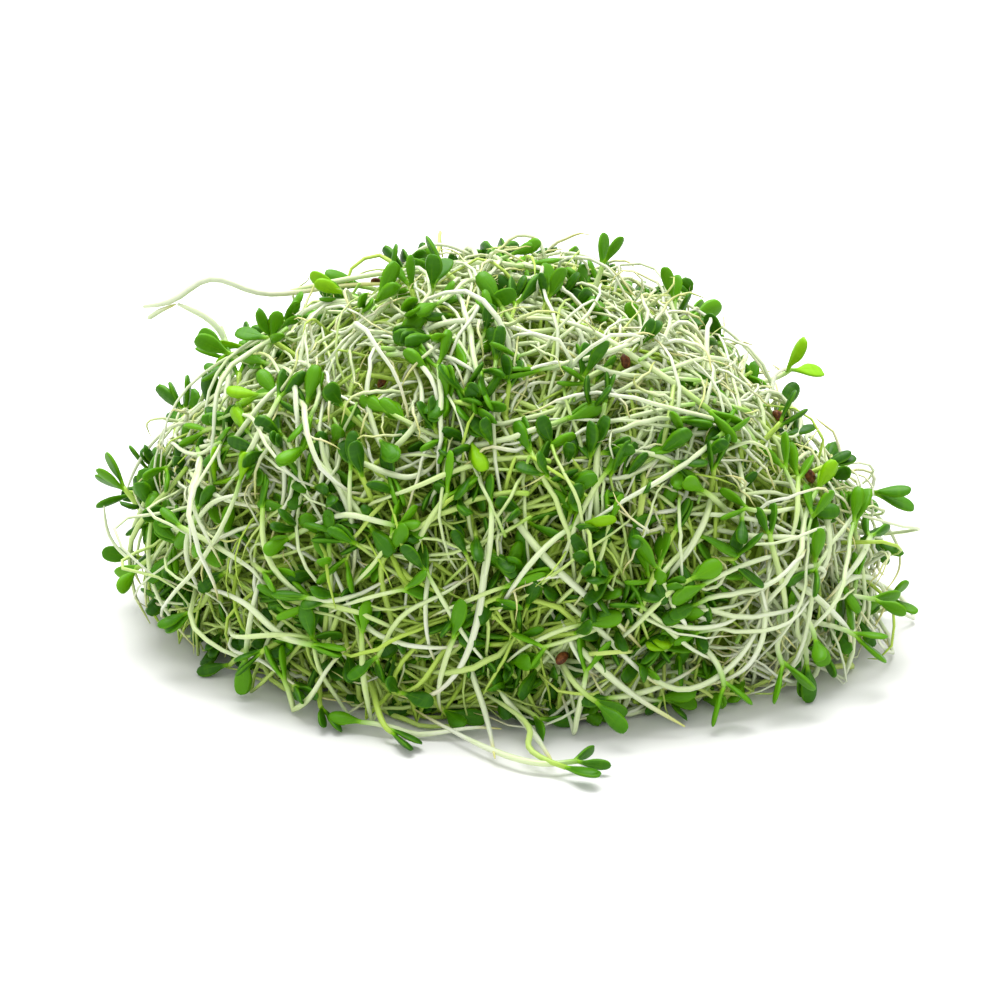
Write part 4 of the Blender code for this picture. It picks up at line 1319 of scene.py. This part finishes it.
def sproutSkin(name, tones):
    # The whole sprout's finish, by where on its map a point is: cream root, pale stem, greener towards
    # the leaves, and leaf green from leafFrom on. Each row of the map has a tone of its own, and the
    # last rows carry the most painted shade: greener, olive stems and darker leaves.
    finish = Finish(name, tones["roughness"])
    place = finish.node("ShaderNodeUVMap", {"uv_map": "sproutMap"})
    along = finish.node("ShaderNodeSeparateXYZ", None, {0: place}, 0)
    across = finish.node("ShaderNodeSeparateXYZ", None, {0: place}, 1) * skinRows["count"]
    row = across.floor()
    around = (across.fract() - sweepForm["mapFrom"]) / sweepForm["mapShare"]
    ownTone = finish.chance(row + skinRows["toneSeed"])
    paintedShadeOfRow = row / skinRows["count"]
    a, b, c = mottleCells
    mottle = finish.noise(finish.vector(along * a, around * b, row * c), 1.0, 3)
    a, b, c = streakCells
    streaks = finish.noise(finish.vector(along * a, around * b, row * c), 1.0, 2)

    stem = finish.mix(finish.between(along, *bands["rootTip"]), tones["rootTip"], tones["root"])
    stem = finish.mix(finish.between(along, *bands["rootToStem"]), stem, tones["stem"])
    # the stem greens towards its leaves, and more in the rows with more painted shade
    least = marks["leastGreener"]
    greener = finish.between(along, *bands["greener"]) * (least + paintedShadeOfRow * (1 - least))
    greener = greener + (mottle - 0.5) * marks["mottleOnStem"]
    stem = finish.mix(greener.held(), stem, tones["stemGreener"])
    stem = finish.mix(finish.between(along, *bands["neckOnStem"]) * marks["neck"], stem, tones["neck"])
    streaky = (streaks - marks["streaksFrom"]) * marks["streaks"]
    stem = finish.mix(streaky.held(), stem, tones["stemGreener"])
    # painted shade: rows with more of it go towards the shaded tone, and their leaves darker
    shade = finish.between(paintedShadeOfRow, *bandsAcross["shade"])
    stem = finish.mix(shade, stem, tones["shaded"])

    dark, middle, light, yellow = tones["leaves"]
    stops = ((0.0, dark), (0.4, middle), (0.8, light), (1.0, yellow))
    leaf = finish.ramp(ownTone - shade * marks["darkerInShade"], stops)
    edge = (around * (2 * math.pi)).cosine().size()
    # a painted highlight: the leaf is lighter towards its edges
    leaf = finish.mix(finish.between(edge, *bandsAcross["edge"]) * marks["edge"], leaf, tones["leafEdgeHighlight"])
    rib = finish.between(edge, *bandsAcross["rib"], 1.0, 0.0)
    rib = rib * finish.between(along, *bands["ribFades"], 1.0, 0.0)
    leaf = finish.mix(rib * marks["rib"], leaf, tones["rib"])
    mottled = (mottle - marks["mottleFrom"]) * marks["mottleOnLeaf"]
    leaf = finish.mix(mottled.held(), leaf, light)
    isLeaf = finish.between(along, *bands["leaf"])
    base = finish.mix(finish.between(along, *bands["neckOnLeaf"]), stem, tones["neck"])
    finish.uses("Base Color", finish.mix(isLeaf, base, leaf))
    smoothest = tones["roughness"] - marks["roughening"] / 2
    roughness = mottle * marks["roughening"] + isLeaf * marks["leafRougher"] + smoothest
    finish.uses("Roughness", roughness)
    coatOnStems = tones["coatOnStems"]
    finish.uses("Coat Weight", isLeaf * (tones["coatOnLeaves"] - coatOnStems) + coatOnStems)
    height = streaks * (1 - isLeaf * marks["flatterOnLeaf"]) - rib * marks["ribSunk"]
    height = height + mottle * marks["mottleRaised"]
    finish.bump(height, marks["bumpStrength"], marks["bump"])
    return finish.material


# The pieces

# how finely each surface is drawn
detail = {
    "stemPoints": 18,
    "stemSides": 8,
    "leafAlong": (0.0, 0.12, 0.24, 0.36, 0.48, 0.6, 0.72, 0.83, 0.91, 0.965),
    "leafSides": 10,
    "fillStemSides": 5,
    "fillLeafAlong": (0.0, 0.2, 0.4, 0.6, 0.8, 0.94),
    "fillLeafSides": 6,
    "slimLoose": 0.8,         # a round stem's radius, as a share of the faceted stem's that it stands for
    "slimFused": 0.7,
    "rootSides": 4,
    "hairSides": 3,
}
# how thin a strand's end is, as a share of its thickness
endShares = {"drawn": 0.45, "fill": 0.35, "root": 0.4, "hair": 0.5, "key": 0.5}
# how far along the map a strand without leaves starts: at 0 beside the leaves, and near 1 at the root's
# end
startsAlong = {"stem": 0.3, "root": 0.6, "hair": 0.7, "sprout": 0.0}
# the strands' thicknesses beside the stem's: the thinnest, and the thickest
fillWidths = {"sprouts": (0.4, 0.82), "stems": (0.4, 0.76), "deepStems": (0.5, 0.9), "roots": (0.32, 0.6)}
# how many of the palest rows, those with the least painted shade, the strands that stand out take their
# tones from
paleRows = {"roots": 12, "hairs": 6, "strands": 8, "pairs": 12}
seeds = {"loose": 5, "fused": 6, "loops": 7, "fill": 20}
# how much a strand is shaded, from 0 to 1
shading = {
    "runFrom": 6,             # the run that counts is from a sixth of its points to half of them
    "runTo": 2,
    "deep": 0.85,             # for one that runs as deep as skinRows says
    "low": 0.4,               # added for one at the floor and on the dark side, and none from lowUnder up
    "lowUnder": 36,
    "darkSideStart": 0.3,     # how dark the middle is, and how far out of it the dark side rises by 1
    "darkSideWidth": 40,
    "high": 0.15,             # taken off a high one, from highStart steps up, and all of it a step higher
    "highStart": 1.6,
    "highStep": 20,
    "chance": 0.3,
}
skin = sproutSkin("sproutSkin", outerTones)
deepShadedSkin = sproutSkin("deepShadedSkin", deepShadedTones)


def paintedShadeRowsFor(pick, paths):
    # A strand's row is the painted shade it gets: it rises with how deep it runs and with how low it is on
    # the dark side, and falls with how high it is, with some chance in it. A shaded place adds more *
    # exp(-(distance / radius)^2).
    count = skinRows["count"]
    points = paths.shape[1]
    run = paths[:, points // shading["runFrom"]: points // shading["runTo"]].mean(axis=1)
    depth = (outerShare(run) - shareOf(run)) / skinRows["depth"]
    darkSide = np.clip(-(run @ lightAcross) / shading["darkSideWidth"] + shading["darkSideStart"], 0, 1)
    low = np.clip(1 - run[:, 2] / shading["lowUnder"], 0, 1) * darkSide
    high = np.clip(run[:, 2] / shading["highStep"] - shading["highStart"], 0, 1)
    shade = np.clip(depth, 0, 1) * shading["deep"] + low * shading["low"] - high * shading["high"]
    shade = shade + pick.uniform(0, shading["chance"], len(paths))
    across, upwards, front = seenFrom(run)
    for x, y, radius, more in shadedPlaces:
        far = np.hypot(across - x, upwards - y) / radius
        shade = shade + more * front * np.exp(-(far**2))
    return np.clip((shade * count).astype(int), 0, count - 1)


def drawnSurfaces(ones, seed, slim):
    # The sprouts that the solids hold, drawn again through more points of the same curves: stems as
    # wide as thickness * slim, and their leaves
    pick = np.random.default_rng(seed)
    paths = np.array([strand(one["curve"], detail["stemPoints"]) for one in ones])
    rows = paintedShadeRowsFor(pick, paths)
    thickness = np.array([one["thickness"] for one in ones]) * slim
    surfaces = [stemSurface(paths, thickness, rows, detail["stemSides"], endShares["drawn"])]
    if ones[0]["leaves"]:
        leaves = stacked(ones)
        surfaces.append(leafSurface(leaves, rows.repeat(2), detail["leafAlong"], detail["leafSides"]))
    return surfaces


looseSurfaces = drawnSurfaces(looseSprouts, seeds["loose"], detail["slimLoose"])
loosePiece = meshPiece("looseSprouts", looseSurfaces, skin)
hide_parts(*[f"sprout_{n:02d}" for n in range(1, len(looseSprouts) + 1)])
tangleSurfaces = drawnSurfaces(fusedSprouts, seeds["fused"], detail["slimFused"])
tangleSurfaces += drawnSurfaces(fusedLoops, seeds["loops"], detail["slimFused"])
tanglePiece = meshPiece("tangleSprouts", tangleSurfaces, skin)
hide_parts("tangle")


def fillStemSurface(pick, paths, widths, fromAlong):  # a width is low + (high - low) * chance^1.3
    rows = paintedShadeRowsFor(pick, paths)
    low, high = widths
    thickness = low + (high - low) * pick.uniform(0, 1, len(paths)) ** 1.3
    sides = detail["fillStemSides"]
    return rows, stemSurface(paths, thickness, rows, sides, endShares["fill"], fromAlong)


pick = np.random.default_rng(seeds["fill"])
half = len(grown["sprouts"]) // 2
for number in range(2):
    paths = grown["sprouts"][number * half:(number + 1) * half]
    rows, stems = fillStemSurface(pick, paths, fillWidths["sprouts"], startsAlong["sprout"])
    pair = leavesFor(pick, paths)
    keep = keptLeaves(pick, paths)
    for leaves in pair:
        tips = leaves["start"] + leaves["pointing"] * leaves["length"][:, None]
        outer = leaves["start"] * 0.4 + tips * 0.6
        keep &= inBounds(tips) & clearOfHulls(np.stack([outer, tips], axis=1))
    surfaces = [stems]
    for leaves in pair:
        kept = {key: value[keep] for key, value in leaves.items()}
        surfaces.append(leafSurface(kept, rows[keep], detail["fillLeafAlong"], detail["fillLeafSides"]))
    meshPiece(f"heapSprouts{number + 1}", surfaces, skin)
for name, kind, finished in (("heapStems", "stems", skin), ("deepStems", "deepStems", deepShadedSkin)):
    _, stems = fillStemSurface(pick, grown[kind], fillWidths[kind], startsAlong["stem"])
    meshPiece(name, [stems], finished)
roots = grown["roots"]
rows = pick.integers(0, paleRows["roots"], len(roots))
thickness = pick.uniform(*fillWidths["roots"], len(roots))
stems = stemSurface(roots, thickness, rows, detail["rootSides"], endShares["root"], startsAlong["root"])
meshPiece("heapRoots", [stems], skin)


# Root hairs, on some of the outer roots

hairForm = {
    "roots": 330,
    "each": 13,
    "lengths": (0.7, 1.5),
    "thickness": 0.08,        # beside the stem's
    "outFrom": 0.95,          # only roots that end outside this share have hairs
    "places": (0.35, 0.98),   # how far along its root a hair may be
    "bend": 0.33,
}


def rootHairs(pick, roots):
    # Each hair leaves a point of its root at a right angle: start + (away * t + bend * t^2) * length
    outer = roots[shareOf(roots[:, -1]) > hairForm["outFrom"]]
    root = outer[pick.integers(0, len(outer), hairForm["roots"])].repeat(hairForm["each"], axis=0)
    count = len(root)
    place = pick.uniform(*hairForm["places"], count) * (root.shape[1] - 1)
    k = place.astype(int)
    each = np.arange(count)
    share = (place - k)[:, None]
    start = root[each, k] * (1 - share) + root[each, k + 1] * share
    along = units(root[each, k + 1] - root[each, k])
    away = units(np.cross(along, pick.normal(size=(count, 3))))
    bend = pick.normal(size=(count, 3)) * hairForm["bend"]
    length = pick.uniform(*hairForm["lengths"], (count, 1))
    t = np.array([0.0, 0.5, 1.0])[None, :, None]
    hairs = start[:, None] + (away[:, None] * t + bend[:, None] * t**2) * length[:, None]
    return hairs[inBounds(hairs).all(axis=1)]


hairs = rootHairs(pick, roots)
thickness = np.full(len(hairs), hairForm["thickness"])
rows = pick.integers(0, paleRows["hairs"], len(hairs))
stems = stemSurface(hairs, thickness, rows, detail["hairSides"], endShares["hair"], startsAlong["hair"])
meshPiece("rootHairs", [stems], skin)


# The strands at the listed points

def keySurface(paths, thickness, rows, fromAlong):
    # The strands' surface, and their leaves' where they start at the leaves, which is at 0
    surfaces = [stemSurface(paths, thickness, rows, detail["stemSides"], endShares["key"], fromAlong)]
    if fromAlong == 0:
        for leaves in leavesFor(pick, paths):
            surfaces.append(leafSurface(leaves, rows, detail["leafAlong"], detail["leafSides"]))
    return surfaces


keySurfaces = []
for kind in ("root", "stem", "sprout"):
    paths = np.array([path for _, path in keyPaths[kind]])
    thickness = np.array([thick for thick, _ in keyPaths[kind]])
    rows = pick.integers(0, paleRows["strands"], len(paths))
    keySurfaces += keySurface(paths, thickness, rows, startsAlong[kind])
paths = pairStrands(pick)
paths = paths[clearOfHulls(paths)]
rows = pick.integers(0, paleRows["pairs"], len(paths))
thickness = pick.uniform(*pairForm["thicknesses"], len(paths))
keySurfaces += keySurface(paths, thickness, rows, startsAlong["sprout"])
meshPiece("frontStrands", keySurfaces, skin)


# The matted inside of the heap, seen only through the gaps, in olive tones that hold painted shade

insideForm = {
    "share": 0.82,
    "around": 180,
    "rings": 60,
    "fineLump": 0.008,
    "lowestRing": 0.92,       # how far out the ring on the floor is, beside the others
    "raised": 0.3,
    # olive for the mixed sprouts inside, darkened and greened as painted shade of the gaps
    "dark": tone(122, 150, 34),
    "pale": tone(190, 210, 104),
    "grain": 260,
    "bump": 0.002,
}


def insideSurface():
    # Half an ellipsoid, direction * half sizes * share, with lumps of sin(5 azimuth + 4 rise) cos(7
    # rise - 2 azimuth) and fine ones of sin(31 azimuth + 9 rise) cos(37 rise + 6 azimuth) on it
    rise = np.linspace(0, 0.5 * math.pi, insideForm["rings"], endpoint=False)[:, None]
    azimuth = (2 * math.pi * np.arange(insideForm["around"]) / insideForm["around"])[None]
    lump = np.sin(5 * azimuth + 4 * rise) * np.cos(7 * rise - 2 * azimuth)
    fine = np.sin(31 * azimuth + 9 * rise) * np.cos(37 * rise + 6 * azimuth)
    share = insideForm["share"] + heap["coreLump"] * lump + insideForm["fineLump"] * fine
    share[0] *= insideForm["lowestRing"]
    flat = np.cos(rise) * np.ones_like(azimuth)
    upright = np.sin(rise) * np.ones_like(azimuth)
    onHeap = np.stack([flat * np.cos(azimuth), flat * np.sin(azimuth), upright], -1) * halfSizes
    rings = (onHeap * (share / shareOf(onHeap))[..., None])[None]
    rings[..., 2] += insideForm["raised"]
    poles = np.array([[[0, 0, insideForm["raised"]], [0, 0, halfSizes[2] * insideForm["share"]]]])
    return closedSurface(rings, poles, np.linspace(0, 1, insideForm["rings"]), [0])


# painted shade: dark and pale olive, the shaded colour of the gaps
def insideFinish():  # dark, and pale where the noise is over about 0.6
    finish = Finish("heapInside", 0.8)
    place = finish.node("ShaderNodeTexCoord", None, None, 3)
    grain = finish.noise(place, insideForm["grain"], 4, 0.6)
    pale = finish.between(grain, 0.45, 0.7)
    finish.uses("Base Color", finish.mix(pale, insideForm["dark"], insideForm["pale"]))
    finish.bump(grain, 0.6, insideForm["bump"])
    return finish.material


inside = meshPiece("heapInside", [insideSurface()], insideFinish(), ())


# The seed hulls

hullLook = {
    "dark": tone(70, 34, 12),
    "light": tone(138, 84, 40),
    "around": 14,
    "rings": 9,
    "firstRing": 0.03,        # where along the length it is, and the last one as far from the other end
    "bend": 12,               # the middle line bends by the length over this
    "grain": 1500,
    "bump": 0.0002,
}


def hullSurface(hulls):
    # A bean: along the length at s, the width and thickness are sqrt(1 - (2s - 1)^2) of the full ones,
    # and the middle line bends by (sin(pi s) - 1/2) * length / bend
    s = np.linspace(hullLook["firstRing"], 1 - hullLook["firstRing"], hullLook["rings"])
    full = np.sqrt(1 - (2 * s - 1) ** 2)[None].repeat(len(hulls), axis=0)
    centre = np.array([hull["centre"] for hull in hulls])[:, None]
    longWay = np.array([hull["longWay"] for hull in hulls])[:, None]
    outward = np.array([hull["outward"] for hull in hulls])[:, None]
    side = np.cross(outward, longWay)
    bend = (np.sin(math.pi * s) - 0.5)[None, :, None] * hullForm["length"] / hullLook["bend"]
    paths = centre + longWay * ((s - 0.5) * hullForm["length"])[None, :, None] + side * bend
    wide = full * hullForm["width"] / 2
    thick = full * hullForm["thickness"] / 2
    rings, poles = sweptRings(paths, side[:, 0], wide, thick, wide * 0, hullLook["around"])
    return closedSurface(rings, poles, s, np.arange(len(hulls)))


def hullFinish():  # dark, and light where the noise is over about 0.5
    finish = Finish("seedHull", 0.45, 0.15)
    place = finish.node("ShaderNodeTexCoord", None, None, 3)
    grain = finish.noise(place, hullLook["grain"], 4, 0.6)
    light = finish.between(grain, 0.35, 0.7)
    finish.uses("Base Color", finish.mix(light, hullLook["dark"], hullLook["light"]))
    finish.bump(grain, 0.5, hullLook["bump"])
    return finish.material


hullPiece = meshPiece("seedHulls", [hullSurface(seedHulls)], hullFinish(), ())
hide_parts(*[f"seed_hull_{n}" for n in range(1, len(seedHulls) + 1)])


# Floor, lights and camera

studio = {
    "floorTone": (0.78, 0.78, 0.77),
    "pixelsPerMillimetre": 6,
    "framePixels": 1000,
    "distance": 900,
    "lookAtUp": 20,           # how far up the view the frame's middle is from the heap's base
    "sensor": 36,
    # each light's place, size and power, in metres and watts; both point at lightsTarget
    "lights": {"key": ((-0.02, 0.24, 0.7), 0.7, 9.5), "fill": ((-0.35, -0.75, 0.45), 0.6, 0.4)},
    "lightsTarget": (0, 0, 0.03),
    "sky": 0.98,
    "floorHalf": 3.0,         # metres
}


def floorPlane():  # a square of floorHalf to each side of the heap
    mesh = bpy.data.meshes.new("floor")
    half = studio["floorHalf"]
    corners = [(-half, -half, 0), (half, -half, 0), (half, half, 0), (-half, half, 0)]
    mesh.from_pydata(corners, [], [(0, 1, 2, 3)])
    finish = Finish("floorFinish", 0.9)
    finish.shader.inputs["Base Color"].default_value = (*studio["floorTone"], 1)
    mesh.materials.append(finish.material)
    floor = bpy.data.objects.new("floor", mesh)
    bpy.context.scene.collection.objects.link(floor)


def areaLight(name, place, target, size, power):
    # A round light that points at target: it tips by atan(distance across / height) and turns by the
    # azimuth
    light = bpy.data.lights.new(name, "AREA")
    light.shape = "DISK"
    light.size = size
    light.energy = power
    lamp = bpy.data.objects.new(name, light)
    lamp.location = place
    away = np.array(place) - np.array(target)
    tip = math.atan2(math.hypot(away[0], away[1]), away[2])
    lamp.rotation_euler = (tip, 0, math.atan2(away[1], away[0]) + math.pi / 2)
    bpy.context.scene.collection.objects.link(lamp)


def placeCamera():  # lens = sensor * distance / the millimetres that the frame shows
    sensor = studio["sensor"]
    lens = sensor * studio["pixelsPerMillimetre"] * studio["distance"] / studio["framePixels"]
    view = bpy.data.cameras.new("camera")
    view.sensor_width = sensor
    view.lens = lens
    camera = bpy.data.objects.new("camera", view)
    target = viewUp * studio["lookAtUp"]
    camera.location = (target - viewAhead * studio["distance"]) * metre
    camera.rotation_euler = (math.pi / 2 - tilt, 0, 0)
    bpy.context.scene.collection.objects.link(camera)
    bpy.context.scene.camera = camera


floorPlane()
for name, (place, size, power) in studio["lights"].items():
    areaLight(name, place, studio["lightsTarget"], size, power)
world = bpy.data.worlds.new("sky")
world.use_nodes = True
world.node_tree.nodes["Background"].inputs["Color"].default_value = (1, 1, 1, 1)
world.node_tree.nodes["Background"].inputs["Strength"].default_value = studio["sky"]
bpy.context.scene.world = world
bpy.context.scene.view_settings.view_transform = "Standard"
placeCamera()
print("studio: floor, sky, camera and", len(studio["lights"]), "lights")
